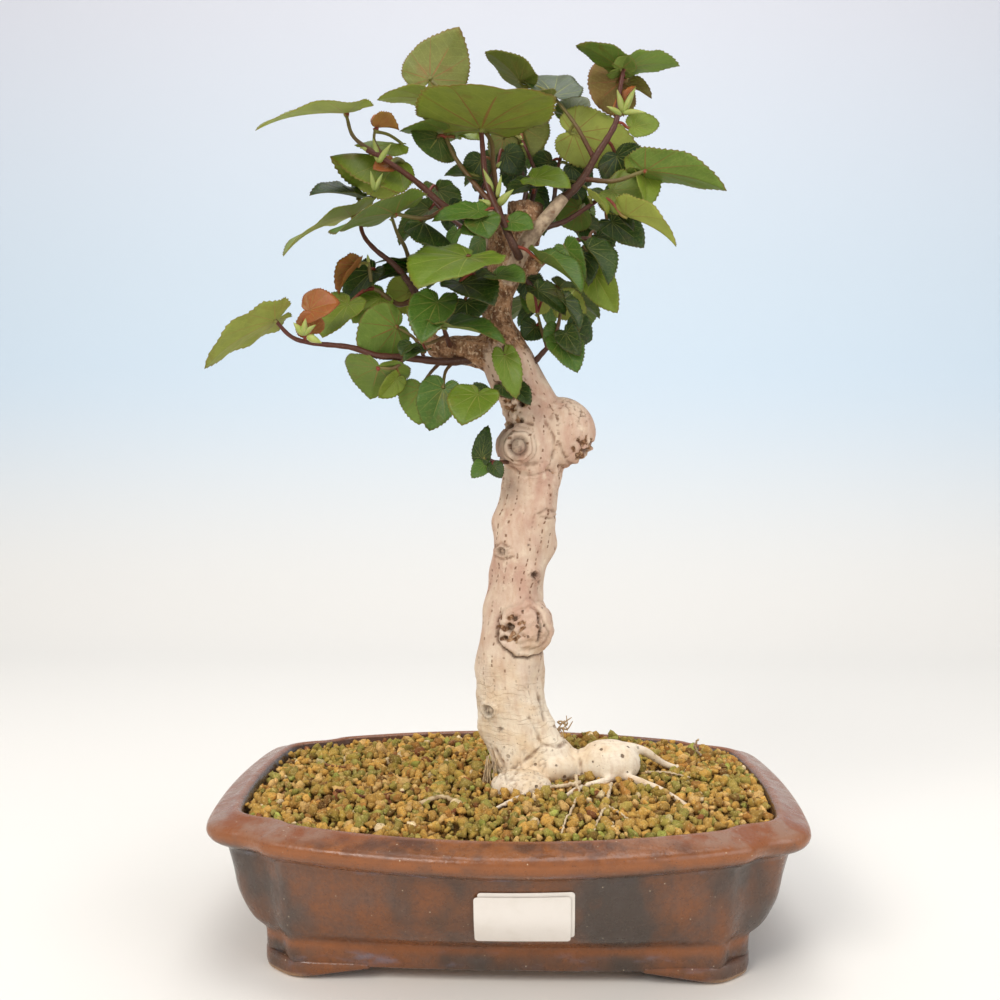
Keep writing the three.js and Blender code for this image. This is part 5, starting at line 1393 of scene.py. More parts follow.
# Leaf and stem places are (across, up, back): across and up as they show from EYE on the upright
# plane through the middle of the pot, and back the real distance behind that plane.
# A stem is its path and its start and end radius. A leaf is its stalk's end, its tip, its width, the
# way its upper side faces, its fold in degrees and its tone. A pale bud or leaf scale is its foot,
# its tip and its radius. The buds and the last stem of shoot_limb aren't in the CAD model.
SHOOTS = {
    "shoot_left_high": {"stems": [
        (
            [(-5, 336, 0), (-17, 344, -6), (-30, 351, -10), (-44, 363, -14), (-60, 374, -17),
             (-68, 378, -18)],
            2.3, 1.4,
        ),
        ([(-61, 375, -17), (-74, 384, -18), (-78, 395, -18)], 1.2, 1),
        ([(-59, 374, -17), (-64, 382, -16), (-64, 388, -15)], 1, 0.8),
        ([(-29, 350, -10), (-39, 345, -16), (-54, 347, -22)], 1.3, 1.1),
    ], "leaves": [
        ((-78, 396, -18), (-123, 389, -34), 46, (-0.1, -0.25, 1), 8, "light"),
        ((-63, 389, -14), (-52, 388, -10), 16, (0, -0.15, 1), 55, "orange"),
        ((-53, 381, -2), (-74, 381, -8), 18, (0, -0.6, 0.8), -20, "light"),
        ((-53, 373, 0), (-86, 376, -10), 46, (0, -0.1, 1), -50, "light"),
        ((-54, 347, -22), (-84, 339, -56), 44, (-0.15, 0.25, 1), 5, "green"),
        ((-40, 343, -8), (-24, 330, -12), 28, (0.6, -0.1, 0.8), -45, "dark"),
        # Not in the CAD model:
        ((-56, 371, -12), (-65, 369, -16), 10, (0, -1, 0.3), 15, "orange"),
    ], "buds": [
        ((-62, 372, -16), (-65, 384, -17), 2), ((-62, 372, -17), (-56, 381, -19), 1.8),
        ((-64, 358, -15), (-66, 368, -17), 1.6), ((-64, 358, -15), (-60, 367, -16), 1.5),
    ]},
    "shoot_top": {"stems": [
        (
            [(7, 326, -9), (4, 332, -15), (-2, 345, -15), (-7, 356, -11), (-10, 367, -8),
             (-12, 388, -6)],
            2.2, 1.4,
        ),
        (
            [(-2, 345, -14), (-4, 355, -6), (-6, 371, 0), (-8, 384, 2), (-20, 396, 2),
             (-37, 412, 2)],
            1.6, 1,
        ),
        ([(-4, 349, -13), (-17, 364, -4), (-26, 377, 2), (-32, 393, 5), (-34, 401, 6)], 1.6, 1),
    ], "leaves": [
        ((-12, 388, -6), (0, 409, -62), 66, (0, 0.05, 1), 8, "broad"),
        ((-37, 412, 2), (-23, 436.6, 12), 32, (0, 1, 0.1), 6, "olive"),
        ((-36, 402, 6), (-63, 403, 0), 22, (0, 0.15, 1), 6, "light"),
        ((-26, 385, 6), (-52, 388, -6), 28, (0, 0.05, 1), 6, "green"),
        ((-33, 384, 2), (-39, 376, -2), 26, (0, 1, 0.3), 12, "dark"),
        ((-14, 365, 2), (-30, 366, 0), 18, (0, -0.6, 0.8), 15, "dark"),
        ((-12, 373, 2), (-18, 363, 6), 15, (0.3, -1, 0.2), 15, "dark"),
        ((-12, 344, -19), (-8, 335, -24), 18, (0, -0.8, 0.6), 15, "green"),
        ((18, 324, -14), (38, 309, -30), 22, (0.45, -0.45, 0.75), 35, "green"),
        # Not in the CAD model:
        ((-15, 386, 10), (-23, 385, 6), 12, (0, -1, 0.5), 10, "light"),
        ((-14, 340, -18), (-22, 338, -20), 11, (0, -0.8, 0.5), 10, "green"),
        ((-13, 348, -17), (-36, 344, -24), 13, (0, -0.8, 0.6), 12, "green"),
        ((3, 343, -14), (14, 340, -18), 14, (0, -0.8, 0.5), 10, "green"),
    ], "buds": [
        ((-6, 358, -8), (-11, 369, -12), 1.7), ((-5, 350, -9), (-13, 354, -14), 2.3),
        ((-4, 351, -9), (4, 359, -14), 2.4), ((-4, 355, -9), (-2, 366, -12), 1.5),
    ]},
    "shoot_right_high": {"stems": [
        (
            [(28, 354, -4), (37, 363, -4), (44, 375, -5), (51, 386, -5), (54, 393, -5),
             (55, 404, -4), (57, 417, -4)],
            2.4, 1.2,
        ),
        ([(43, 374, -4), (34, 390, -1), (23, 404, 2)], 1.3, 1),
        ([(38, 364, -4), (53, 363, -8), (68, 368, -12)], 1.4, 1.1),
    ], "leaves": [
        ((23, 404, 2), (12, 414, 30), 32, (0.1, -0.35, 1), 14, "dark"),
        ((7, 411, 0), (-10, 426, -12), 24, (0.45, 0.3, 0.8), 10, "olive"),
        ((57, 417, -4), (84, 419, 6), 20, (0, 0.35, 1), 6, "green"),
        ((56, 417, -4), (34, 429, -12), 20, (0.45, 0.3, 0.85), 6, "green"),
        ((56, 411, 6), (43, 400, 2), 30, (0, 1, 0.3), 16, "bronze"),
        ((62, 389, -2), (75, 391, 2), 13, (0.1, -1, 0.2), 10, "light"),
        ((33, 386, 6), (65, 378, 12), 29, (0, 1, 0.12), 8, "light"),
        ((68, 368, -12), (108, 359, -20), 24, (0, 0.5, 0.86), 20, "green"),
        ((54, 375, 6), (60, 359, 14), 26, (0.1, -1, 0.1), 15, "dark"),
        ((67, 367, -3), (69, 350, -8), 16, (0.5, -0.8, 0.2), 20, "light"),
        # Not in the CAD model:
        ((21, 403, -4), (8, 399, -10), 12, (0, 0.4, 1), 10, "olive"),
        ((58, 410, 8), (71, 403, 6), 12, (0.2, -0.8, 0.6), 25, "bronze"),
        ((56, 397, -2), (63, 409, -4), 9, (-0.8, -0.6, 0), 45, "orange"),
        ((67, 367, 4), (58, 375, 6), 13, (0.3, -1, 0.1), 8, "light"),
    ], "buds": [
        ((57, 396, -5), (54, 407, -8), 2.1), ((57, 396, -5), (63, 408, -7), 2.2),
        ((57, 396, -5), (68, 396, -9), 1.8), ((56, 395, -5), (49, 399, -9), 1.7),
        ((57, 396, -5), (61, 404, -10), 1.4),
    ]},
    "shoot_left_low": {"stems": [
        (
            [(-17, 276, -4), (-29, 275, -12), (-49, 277, -18), (-63, 278, -22), (-76, 282, -28),
             (-95, 284, -36), (-105, 287, -40), (-113, 295, -42)],
            2.3, 1.1,
        ),
        ([(-49, 277, -18), (-54, 272, -20), (-62, 272, -20)], 1.1, 0.9),
        ([(-31, 275, -12), (-36, 270, -11), (-41, 263, -9)], 1, 0.8),
        ([(-25, 275, -10), (-29, 270, -15), (-30, 262, -20)], 1, 0.8),
        ([(-39, 276, -15), (-44, 286, -14), (-53, 292, -16)], 1, 0.8),
    ], "leaves": [
        ((-53, 292, -16), (-73, 283, -26), 27, (-0.1, 1, 0.25), 10, "green"),
        ((-96, 300, -34), (-81, 304, -38), 18, (0, -0.9, 0.4), 15, "orange"),
        ((-95, 290, -34), (-99, 300, -36), 14, (0.1, -1, 0.1), 15, "orange"),
        ((-113, 295, -42), (-149, 272, -58), 26, (-0.42, 0.35, 0.8), 10, "light"),
        ((-62, 272, -20), (-66, 257, 0), 32, (0, 0.7, 0.7), 12, "green"),
        ((-41, 262, -9), (-42, 244, -5), 22, (-0.1, 1, 0.2), 10, "green"),
        ((-30, 262, -19), (-37, 241, -20), 22, (-0.1, -1, 0.2), 16, "green"),
        # Not in the CAD model:
        ((-53, 267, -12), (-62, 257, -12), 12, (0.75, -0.5, 0.3), 20, "light"),
    ], "buds": [
        ((-99, 288, -42), (-104, 294, -44), 2), ((-99, 288, -42), (-98, 296, -45), 2),
        ((-97, 287, -42), (-90, 284, -44), 2.2), ((-99, 288, -42), (-93, 293, -44), 1.6),
    ]},
    "shoot_right": {"stems": [
        ([(17, 340, -5), (28, 343, 0), (35, 347, 0), (41, 351, -2), (48, 356, 0)], 1.7, 1.1),
    ], "leaves": [
        ((52, 358, 0), (68, 349, -2), 26, (0, -1, 0.3), 12, "light"),
        ((59, 346, -8), (84, 332, -22), 25, (0.35, 0.2, 0.9), 28, "light"),
        ((48, 352, 0), (63, 339, 2), 18, (0.3, -0.7, 0.6), 25, "dark"),
        ((52, 343, 10), (68, 331, 8), 20, (0.2, -1, 0.3), 15, "dark"),
        ((36, 350, 10), (25, 343, 14), 22, (0, 1, 0.2), 10, "green"),
        # Not in the CAD model:
        ((42, 355, -8), (50, 347, -14), 12, (0.6, -0.3, 0.7), 30, "light"),
        ((33, 361, 10), (38, 354, 10), 12, (0, -1, 0.2), 10, "dark"),
    ]},
    "shoot_right_inner": {"stems": [
        ([(31, 333, 4), (40, 335, 4), (44, 330, 2), (46, 324, 0)], 1.6, 1),
    ], "leaves": [
        ((45, 336, 17), (51, 327, 18), 17, (0, -1, 0), 12, "dark"),
        ((40, 330, -6), (51, 313, -18), 22, (0.55, -0.7, 0.4), 35, "dark"),
        ((30, 330, -4), (39, 314, -8), 17, (-0.5, -0.8, 0.3), 25, "green"),
        ((44, 318, 4), (55, 299, 0), 18, (-0.4, -0.9, 0.2), 20, "light"),
        # Not in the CAD model:
        ((37, 328, 0), (41, 312, -4), 14, (0.5, -0.8, 0.2), 30, "dark"),
        ((28, 326, -3), (36, 318, -3), 14, (0, -1, 0.3), 10, "light"),
    ]},
    "shoot_right_low": {"stems": [
        ([(13, 273, -4), (21, 282, -6), (27, 287, -6), (33, 290, -4)], 1.7, 1),
        ([(21, 282, -6), (18, 291, -4), (16, 299, -2)], 1.1, 0.8),
        ([(25, 286, -6), (27, 297, -4), (28, 303, -2), (32, 308, 0)], 1.1, 0.8),
    ], "leaves": [
        ((18, 306, 2), (12, 300, 0), 14, (0, 1, 0.2), 10, "light"),
        ((16, 310, -8), (30, 298, -14), 15, (0.4, -0.8, 0.4), 18, "dark"),
        ((28, 304, 4), (40, 299, 6), 17, (0, 1, 0.3), 15, "light"),
        ((27, 285, -6), (36, 270, -12), 19, (0.3, -1, 0.2), 20, "green"),
        ((32, 291, -2), (43, 286, -2), 19, (0, -1, 0.2), 12, "dark"),
        # Not in the CAD model:
        ((28, 305, -10), (37, 290, -18), 12, (0.5, -0.8, 0.3), 40, "dark"),
        ((26, 290, -4), (19, 285, -8), 12, (0.1, -1, 0.3), 15, "green"),
        ((30, 289, -8), (37, 278, -14), 13, (-0.3, -1, 0.3), 25, "dark"),
        ((15, 292, 0), (9, 286, -2), 14, (0, -1, 0.2), 15, "dark"),
    ]},
    "shoot_front": {"stems": [
        ([(-5, 303, -3), (-10, 308, -9), (-13, 314, -14), (-17, 321, -20), (-18, 327, -30)], 1.7, 1.1),
    ], "leaves": [
        ((-18, 326, -30), (-43, 312, -56), 44, (-0.1, -0.55, 0.83), 5, "bright"),
        ((-4, 317, -22), (10, 314, -30), 20, (0.1, -0.6, 0.8), 12, "green"),
        ((-21, 313, -20), (-5, 303, -34), 27, (0, -0.6, 0.8), 16, "dark"),
        ((-19, 304, -12), (-18, 294, -14), 22, (0, -1, 0.1), 8, "dark"),
    ]},
    "shoot_inner_left": {"stems": [
        ([(-7, 350, 2), (-12, 353, 6), (-10, 362, 9), (-4, 370, 10)], 1.3, 0.9),
    ], "leaves": [
        ((0, 376, 18), (8, 366, 22), 16, (0, -1, 0.2), 10, "dark"),
        ((-9, 366, 16), (-15, 358, 16), 14, (0, -1, 0.2), 12, "dark"),
    ]},
    "shoot_inner_middle": {"stems": [
        ([(12, 350, 6), (15, 364, 10), (12, 374, 16), (8, 383, 20)], 1.5, 0.9),
    ], "leaves": [
        ((14, 364, -4), (32, 360, -12), 20, (0, -0.7, 0.7), 12, "bright"),
        ((8, 389, 22), (14, 374, 22), 26, (0.2, 1, 0.2), 8, "olive"),
        ((-1, 384, 22), (-4, 371, 22), 16, (0.2, 1, 0.1), 8, "olive"),
        # Not in the CAD model:
        ((12, 361, 0), (0, 356, -4), 14, (0, -0.7, 0.7), 15, "dark"),
    ]},
    "shoot_inner_right": {"stems": [
        ([(23, 347, -4), (24, 356, 5), (25, 366, 10), (27, 375, 13), (30, 386, 13)], 1.4, 0.9),
    ], "leaves": [
        ((31, 394, 18), (38, 404, 25), 18, (-0.3, -1, 0.3), 12, "olive"),
        ((22, 372, 16), (14, 364, 20), 17, (-0.2, -1, 0.3), 12, "dark"),
        ((32, 370, 15), (42, 361, 20), 18, (0.2, -1, 0.3), 14, "dark"),
    ]},
    "shoot_left_middle": {"stems": [
        (
            [(-43, 305, 0), (-46, 312, -2), (-54, 322, -4), (-64, 330, -6), (-70, 338, -4),
             (-72, 351, 0)],
            1.9, 1,
        ),
        ([(-43, 306, 1), (-48, 328, 4), (-53, 338, 6), (-56, 347, 8)], 1.6, 0.9),
        ([(-43, 306, -1), (-52, 303, -6), (-61, 309, -6), (-65, 312, -6), (-67, 324, -6)], 1.6, 0.9),
    ], "leaves": [
        ((-72, 355, 0), (-96, 357, -16), 24, (0, -0.5, 0.86), 15, "dark"),
        ((-75, 346, -8), (-110, 328, -40), 32, (-0.35, 0, 1), 8, "light"),
        ((-61, 306, -3), (-75, 294, -6), 22, (-0.2, -0.8, 0.5), 12, "light"),
        ((-77, 303, -12), (-90, 287, -22), 26, (-0.3, -0.8, 0.5), 12, "light"),
        ((-72, 322, -6), (-82, 308, -10), 16, (-0.3, -0.6, 0.6), 50, "orange"),
        ((-65, 319, 0), (-79, 304, -4), 19, (-0.3, -0.8, 0.4), 15, "dark"),
        ((-47, 320, 4), (-66, 314, 0), 17, (0, -0.6, 0.8), 15, "dark"),
        ((-47, 309, 4), (-58, 303, 2), 20, (0, 1, 0.2), 10, "light"),
        # Not in the CAD model:
        ((-47, 324, 6), (-65, 323, 4), 10, (0, -0.1, 1), 10, "dark"),
    ]},
    "shoot_limb": {"stems": [
        ([(-26, 281, -6), (-28, 286, -13), (-30, 292, -18), (-32, 302, -22)], 1.5, 1),
        ([(-28, 288, -14), (-37, 284, -21), (-45, 283, -22)], 1, 0.8),
    ], "leaves": [
        ((-33, 304, -24), (-41, 284, -38), 24, (-0.1, -0.85, 0.5), 18, "green"),
        ((-29, 292, -28), (1, 284, -38), 24, (0.1, -0.35, 0.9), 20, "green"),
        # Not in the CAD model:
        ((-40, 280, -25), (-50, 275, -32), 11, (-0.2, -0.6, 0.7), 25, "dark"),
        ((-46, 283, -24), (-51, 278, -28), 11, (-0.4, -0.8, 0.4), 20, "dark"),
    ]},
    "sprout_upper": {"stems": [
        ([(3, 258, -9), (-3, 259, -20), (-9, 260, -27)], 1.3, 0.9),
    ], "leaves": [
        ((-13, 259, -28), (-21, 244, -38), 25, (-0.3, -0.9, 0.3), 10, "bright"),
        # Not in the CAD model:
        ((-1, 263, -20), (4, 257, -26), 10, (0, -1, 0.4), 15, "dark"),
        ((5, 262, -20), (13, 254, -26), 11, (0, -0.8, 0.6), 20, "dark"),
        ((-10, 258, -18), (-15, 265, -20), 9, (0, -1, 0.2), 15, "dark"),
    ]},
    "sprout_burl": {"stems": [
        ([(4, 226, -11), (-4, 226, -19), (-9, 228, -21)], 1.2, 0.9),
    ], "leaves": [
        ((-11, 228, -20), (-8, 244, -24), 10, (-0.2, -1, 0.1), 12, "dark"),
        ((-9, 225, -20), (-16, 218, -23), 9, (-0.1, -1, 0.3), 10, "green"),
        ((-5, 224, -22), (-1, 218, -25), 8, (0.1, -1, 0.2), 10, "dark"),
    ]},
    "sprout_neck": {"stems": [
        ([(1, 284, -8), (0, 281, -17), (0, 278, -26)], 1.2, 0.9),
    ], "leaves": [
        ((0, 278, -26), (6, 257, -34), 13, (0.1, -1, 0.2), 10, "bright"),
    ]},
}

# Stems behind the crown: name, path, number of large leaves and starting number.
BACK_SHOOTS = [
    ("shoot_back_top", [(4, 342, 6), (10, 358, 24), (4, 378, 34), (-6, 392, 42)], 4, 11),
    ("shoot_back_right", [(9, 334, 6), (20, 340, 22), (34, 346, 38), (46, 354, 50)], 3, 23),
    ("shoot_back_left", [(-3, 334, 6), (-16, 338, 20), (-28, 346, 34), (-38, 356, 46)], 3, 31),
    ("shoot_back_low", [(6, 318, 4), (16, 310, 18), (26, 303, 34), (36, 298, 46)], 3, 47),
    ("shoot_back_middle", [(-1, 326, 6), (-10, 322, 22), (-22, 318, 38), (-30, 320, 54)], 3, 59),
]

# The heart shape of a blade: degrees from the tip as seen from the stalk's end, and reach of the edge there.
LEAF_OUTLINE = np.array([
    [0, 1], [7, 0.94], [18, 0.85], [34, 0.74], [53, 0.635], [75, 0.55],
    [100, 0.475], [122, 0.385], [142, 0.3], [160, 0.2], [172, 0.11], [180, 0.05],
])
# The outline's full width for a length of 1
OUTLINE_WIDTH = 1.06
# Degrees from the tip where the teeth begin and where they end
TEETH_FROM, TEETH_TO = 8, 172
# Heights in a blade of length 1: its arch, the swelling between veins, the edge's waves, the droop.
ARCH = 0.05
SWELLING = 0.01
WAVES = 0.016
DROOP = 0.035
# Colours of a blade's upper and lower side
TONES = {
    "light": ("74842a", "989e48"), "green": ("46651f", "677c30"), "broad": ("5c6e1c", "7e862e"),
    "dark": ("25390f", "42541e"), "bright": ("667c1e", "808c34"), "olive": ("57602a", "6b6c30"),
    "bronze": ("5f4d1f", "75592a"), "orange": ("9c5426", "a86a38"),
}
WOOD_TONE, STEM_TONE, TIP_TONE = "4c3020", "5c2c20", "77703a"
STALK_TONES = ("7a2f22", "8c3b28", "8a5a34", "7d7a3a")
BUD_TONE = "a5ae60"
BLADE_THICKNESS = 0.4


def place(spots):
    """The real places of points given as (across, up, back)."""
    spots = np.atleast_2d(np.asarray(spots, float))
    eye = np.array(EYE)
    shown = np.column_stack([spots[:, 0], np.zeros(len(spots)), spots[:, 1]])
    stretch = (spots[:, 2] - eye[1]) / -eye[1]
    return eye + (shown - eye) * stretch[:, None]


def leaf_frame(stalk, tip, looks):
    """A leaf's own directions, along, up and to its side, and its length."""
    along = tip - stalk
    length = np.linalg.norm(along)
    along = along / length
    up = np.asarray(looks, float)
    up = unit(up - along * np.dot(up, along))
    return along, up, np.cross(along, up), length


def leaf_reach(angles, teeth, pick):
    """Reach of the edge at each angle from the tip, with fine uneven teeth."""
    reach = np.interp(np.abs(angles), LEAF_OUTLINE[:, 0], LEAF_OUTLINE[:, 1])
    kernel = np.array([0.25, 0.5, 0.25])
    soft = np.convolve(np.pad(reach, 1, "wrap"), kernel, "valid")
    reach = np.where(np.abs(angles) < TEETH_FROM, reach, soft)
    tooth = np.where(np.arange(len(angles)) % 2 == 0, 1.0, -1.0)
    fade_out = np.clip((TEETH_TO - np.abs(angles)) / 20, 0, 1) * np.clip(np.abs(angles) / TEETH_FROM, 0, 1)
    wander = np.array([pick.uniform(0.5, 1.3) for _ in angles])
    return reach + teeth * tooth * wander * fade_out


def fineness(width):
    """Points round a blade's edge, rings from the stalk's end to the edge and height of its teeth."""
    if width > 30:
        return 144, 9, 0.012
    if width > 17:
        return 112, 7, 0.016
    return 72, 6, 0.021


def blade_relief(angles, shares, ahead, pick):
    """Height added to a blade: swollen between its veins, wavy at its edge and drooping at its tip."""
    turn = np.radians(angles)
    gaps = np.min([np.abs(np.abs(angles) - vein) for vein, _ in VEINS], axis=0)
    dip = 1 - ridge(gaps, 0, 5)
    bulge = np.outer(shares * np.sin(shares * math.pi * 0.8), dip) * SWELLING
    ripple = np.sin(turn * pick.choice((7, 8, 9)) + pick.uniform(0, 6))
    wave = np.outer(shares ** 3, ripple * (0.35 + np.abs(np.sin(turn)))) * WAVES
    droop = -DROOP * np.clip(ahead - 0.55, 0, 1) ** 2 / 0.2
    return bulge + wave + droop


def blade_faces(count, rings):
    """Faces of a blade's upper side, of its lower side and of the rim between them."""
    fan = [(0, 1 + (i + 1) % count, 1 + i) for i in range(count)]
    faces = fan + grid_faces(rings, count, start=1)
    half = 1 + rings * count
    edge = half - count
    seam = [(edge + i, half + edge + i, half + edge + (i + 1) % count, edge + (i + 1) % count)
            for i in range(count)]
    above = [face[::-1] for face in faces]
    below = [tuple(half + i for i in face) for face in faces]
    return above + below + seam


def add_blade(mesh, notch, frame, width, fold, tone, pick):
    """A toothed leaf blade, folded on its midrib and arched, with the stalk's end at its notch."""
    along, up, side, length = frame
    count, rings, teeth = fineness(width)
    angles = np.arange(count) * 360 / count
    angles = np.where(angles > 180, angles - 360, angles)
    reach = leaf_reach(angles, teeth, pick)
    shares = np.linspace(0, 1, rings + 1)[1:] ** 0.8
    turn = np.radians(angles)
    ahead = np.outer(shares, reach * np.cos(turn))
    across = np.outer(shares, reach * np.sin(turn))
    wide = across * width / (OUTLINE_WIDTH * length)
    lean = math.radians(fold)
    height = ARCH * 4 * np.clip(ahead, 0, None) * (1 - ahead) + np.abs(wide) * math.sin(lean)
    height += blade_relief(angles, shares, ahead, pick)
    flat = np.column_stack([ahead.ravel(), wide.ravel() * math.cos(lean), height.ravel()]) * length
    flat = np.vstack([[0, 0, 0], flat])
    skin = notch + flat[:, :1] * along + flat[:, 1:2] * side + flat[:, 2:] * up
    grid = np.vstack([[0, 0], np.column_stack([ahead.ravel(), across.ravel()])])
    rim = np.concatenate([[0], np.repeat(shares, count)])
    thin = BLADE_THICKNESS / 2 * (1.15 - 0.55 * rim)[:, None] * up
    upper, lower = [tone_of(code) for code in TONES[tone]]
    shift = pick.uniform(0.86, 1.12)
    half = len(skin)
    tones = np.vstack([np.tile(upper * shift, (half, 1)), np.tile(lower * shift, (half, 1))])
    mesh.add(np.vstack([skin + thin, skin - thin]), blade_faces(count, rings), 0,
             blade=np.vstack([grid, grid]), margin=np.tile(rim, 2), tone=tones,
             under=np.repeat([0.0, 1.0], half), red=pick.uniform(0.35, 0.9) if tone != "dark" else 0.3)


# A leaf stalk's radius, and how much thicker it is for each millimetre of the blade's width
STALK_RADIUS = 0.55
STALK_PER_WIDTH = 0.012
STEM_SIDES = 14
STALK_SIDES = 10
STALK_POINTS = 18
# Radii of a bud from its foot to its tip
BUD_SHAPE = 0.82 * np.array([0.5, 0.85, 1, 1, 0.9, 0.75, 0.55, 0.32, 0.08])


class Shoot:
    """One leafy shoot: its stems as lines, and a mesh that takes blades, bark and buds."""

    def __init__(self, name, seed):
        self.name = name
        self.mesh = Mesh()
        self.pick = random.Random(seed)
        self.lines = []
        self.notches = []

    def add_stem(self, path, start, end, first):
        """A stem, thinner towards its end. The first one of a shoot starts as wood."""
        line = smooth_line(place(path), max(12, 6 * len(path)))
        sizes = np.linspace(start, end, len(line)) * np.linspace(0.95, 0.8, len(line))
        sizes = sizes * (1 + 0.06 * np.sin(np.arange(len(line)) * 1.9))
        share = np.linspace(0, 1, len(line))[:, None]
        wood, young, tip = [tone_of(code) for code in (WOOD_TONE, STEM_TONE, TIP_TONE)]
        tones = wood * (1 - share) + young * share if first else young * (1 - share) + tip * share
        rings = np.vstack([np.repeat(tones, STEM_SIDES, axis=0), tones[:1], tones[-1:]])
        add_tube(self.mesh, line, sizes, STEM_SIDES, 1, tone=rings, **self.blank(len(rings)))
        self.lines.append(line)

    def blank(self, count):
        """Blade values for points that are not on a blade."""
        return {"blade": np.zeros((count, 2)), "margin": 0.0, "under": 0.0, "red": 0.0}

    def stem_point(self, target):
        """The nearest point of a stem, away from its foot."""
        best, gap = None, math.inf
        for line in self.lines:
            far = np.linalg.norm(line - target, axis=1)
            far[:max(1, len(line) // 8)] = math.inf
            if far.min() < gap:
                best, gap = line[far.argmin()], far.min()
        return best

    def add_leaf(self, row):
        stalk_at, tip_at, width, looks, fold, tone = row
        notch, tip = place(stalk_at)[0], place(tip_at)[0]
        self.notches.append(notch)
        frame = leaf_frame(notch, tip, looks)
        add_blade(self.mesh, notch, frame, width, fold, tone, self.pick)
        root = self.stem_point(notch)
        radius = STALK_RADIUS + STALK_PER_WIDTH * width
        reach = np.linalg.norm(notch - root)
        lift = np.array([0, 0, 0.1 * min(reach, 30)])
        knee = notch - frame[0] * min(3, reach * 0.25) - frame[1] * 0.6
        end = notch + frame[0] * radius * 1.2 - frame[1] * radius * 0.75
        line = smooth_line([root, (root + knee) / 2 + lift, knee, end], STALK_POINTS)
        sizes = np.full(STALK_POINTS, radius)
        sizes[:3] *= (1.3, 1.2, 1.08)
        sizes[-4:] *= (1, 0.95, 0.85, 0.6)
        code = self.pick.choice(STALK_TONES)
        share = np.clip(np.linspace(-1.2, 1, STALK_POINTS), 0, 1)[:, None] * 0.75
        near, far = tone_of(code), tone_of(TONES[tone][1])
        tones = np.repeat(near * (1 - share) + far * share, STALK_SIDES, axis=0)
        tones = np.vstack([tones, tones[:1], tones[-1:]])
        add_tube(self.mesh, line, sizes, STALK_SIDES, 1, tone=tones, **self.blank(len(tones)))

    def add_bud(self, base, tip, radius):
        """A pointed bud or a pair of small leaf scales."""
        line = smooth_line([base, (base + tip) / 2 + np.array([0, -0.3, 0.2]), tip], len(BUD_SHAPE))
        count = len(BUD_SHAPE) * STALK_SIDES + 2
        tones = np.tile(tone_of(BUD_TONE) * self.pick.uniform(0.85, 1.05), (count, 1))
        add_tube(self.mesh, line, radius * BUD_SHAPE, STALK_SIDES, 2, tone=tones, **self.blank(count))

    def add_tips(self):
        """Two buds at the end of each stem that has no leaf there."""
        for line in self.lines:
            if min(np.linalg.norm(notch - line[-1]) for notch in self.notches) < 5:
                continue
            heading = unit(line[-1] - line[-4])
            self.add_bud(line[-1] - heading * 0.8, line[-1] + heading * 3.4, 1.1)
            side = unit(np.cross(heading, (0.2, 1, 0.3)))
            self.add_bud(line[-3], line[-3] + unit(heading + side) * 2.6, 0.8)

    def build(self, slot, materials):
        piece = self.mesh.build(self.name + "_leafy", materials, shift=PLANT_SHIFT)
        settle(piece, [self.name])


def shuffled(seed):
    """The same even spread of numbers as in the part's source, from a starting number."""
    mask = 0xffffffff
    state = seed
    while True:
        state = (state + 0x6d2b79f5) & mask
        t = ((state ^ (state >> 15)) * (1 | state)) & mask
        t = ((t + (((t ^ (t >> 7)) * (61 | t)) & mask)) & mask) ^ t
        yield ((t ^ (t >> 14)) & mask) / (mask + 1)


# The bare first part of a stem behind the crown, and the degrees from one of its leaves to the next
BARE_SHARE = 0.42
LEAF_TURN = 137
# Small leaves added to each of those stems, which fill the gaps between the large ones
FILLERS = 5
PATH_STEPS = 199


def back_leaves(path, count, seed):
    """Leaf rows along a stem behind the crown, drooping and turned round it step by step."""
    numbers = shuffled(seed)
    spots = smooth_line(path, PATH_STEPS + 1)
    leaves = []
    for i in range(count):
        share = BARE_SHARE + (1 - BARE_SHARE) * i / (count - 1)
        x, z, back_at = spots[round(share * PATH_STEPS)]
        heading = math.radians(i * LEAF_TURN + 25 * next(numbers))
        reach, length = 8 + 5 * next(numbers), 22 + 10 * next(numbers)
        side, back = math.cos(heading), abs(math.sin(heading)) * 0.8 + 0.2
        stalk = [x + reach * side, z + 3, back_at + reach * back]
        drop = 10 + 8 * next(numbers)
        tip = [stalk[0] + length * side * 0.8, stalk[1] - drop, stalk[2] + length * back * 0.7]
        leaves.append([stalk, tip, length * 0.85, [side * 0.4, back * 0.4, 1], 10, "dark"])
    return leaves


def filler_leaves(path, seed):
    """Rows of the small leaves close to a stem behind the crown."""
    pick = random.Random(seed + 100)
    spots = smooth_line(path, PATH_STEPS + 1)
    leaves = []
    for i in range(FILLERS):
        x, z, back_at = spots[round((0.12 + 0.8 * i / FILLERS) * PATH_STEPS)]
        side, reach, length = pick.uniform(-1, 1), pick.uniform(5, 13), pick.uniform(11, 19)
        stalk = [x + reach * side, z + pick.uniform(-4, 6), back_at + pick.uniform(0, 6)]
        tip = [stalk[0] + length * side * 0.7, stalk[1] - pick.uniform(7, 14)]
        tip.append(stalk[2] + pick.uniform(-4, 6))
        tone = pick.choice(("dark", "dark", "green"))
        leaves.append([stalk, tip, length * 0.85, [side * 0.5, -0.8, 0.6], 12, tone])
    return leaves


# Shoots by the material slot that they have in the CAD model. All others are dark.
LIGHT_SHOOTS = ("shoot_left_high", "shoot_right")
GREEN_SHOOTS = ("shoot_top", "shoot_left_low", "shoot_front", "shoot_inner_middle", "shoot_limb",
                "sprout_upper", "sprout_neck")


def shoot_slot(name):
    """The material slot of a shoot, as in the CAD model."""
    if name in LIGHT_SHOOTS:
        return "leaf_light"
    return "leaf_green" if name in GREEN_SHOOTS else "leaf_dark"


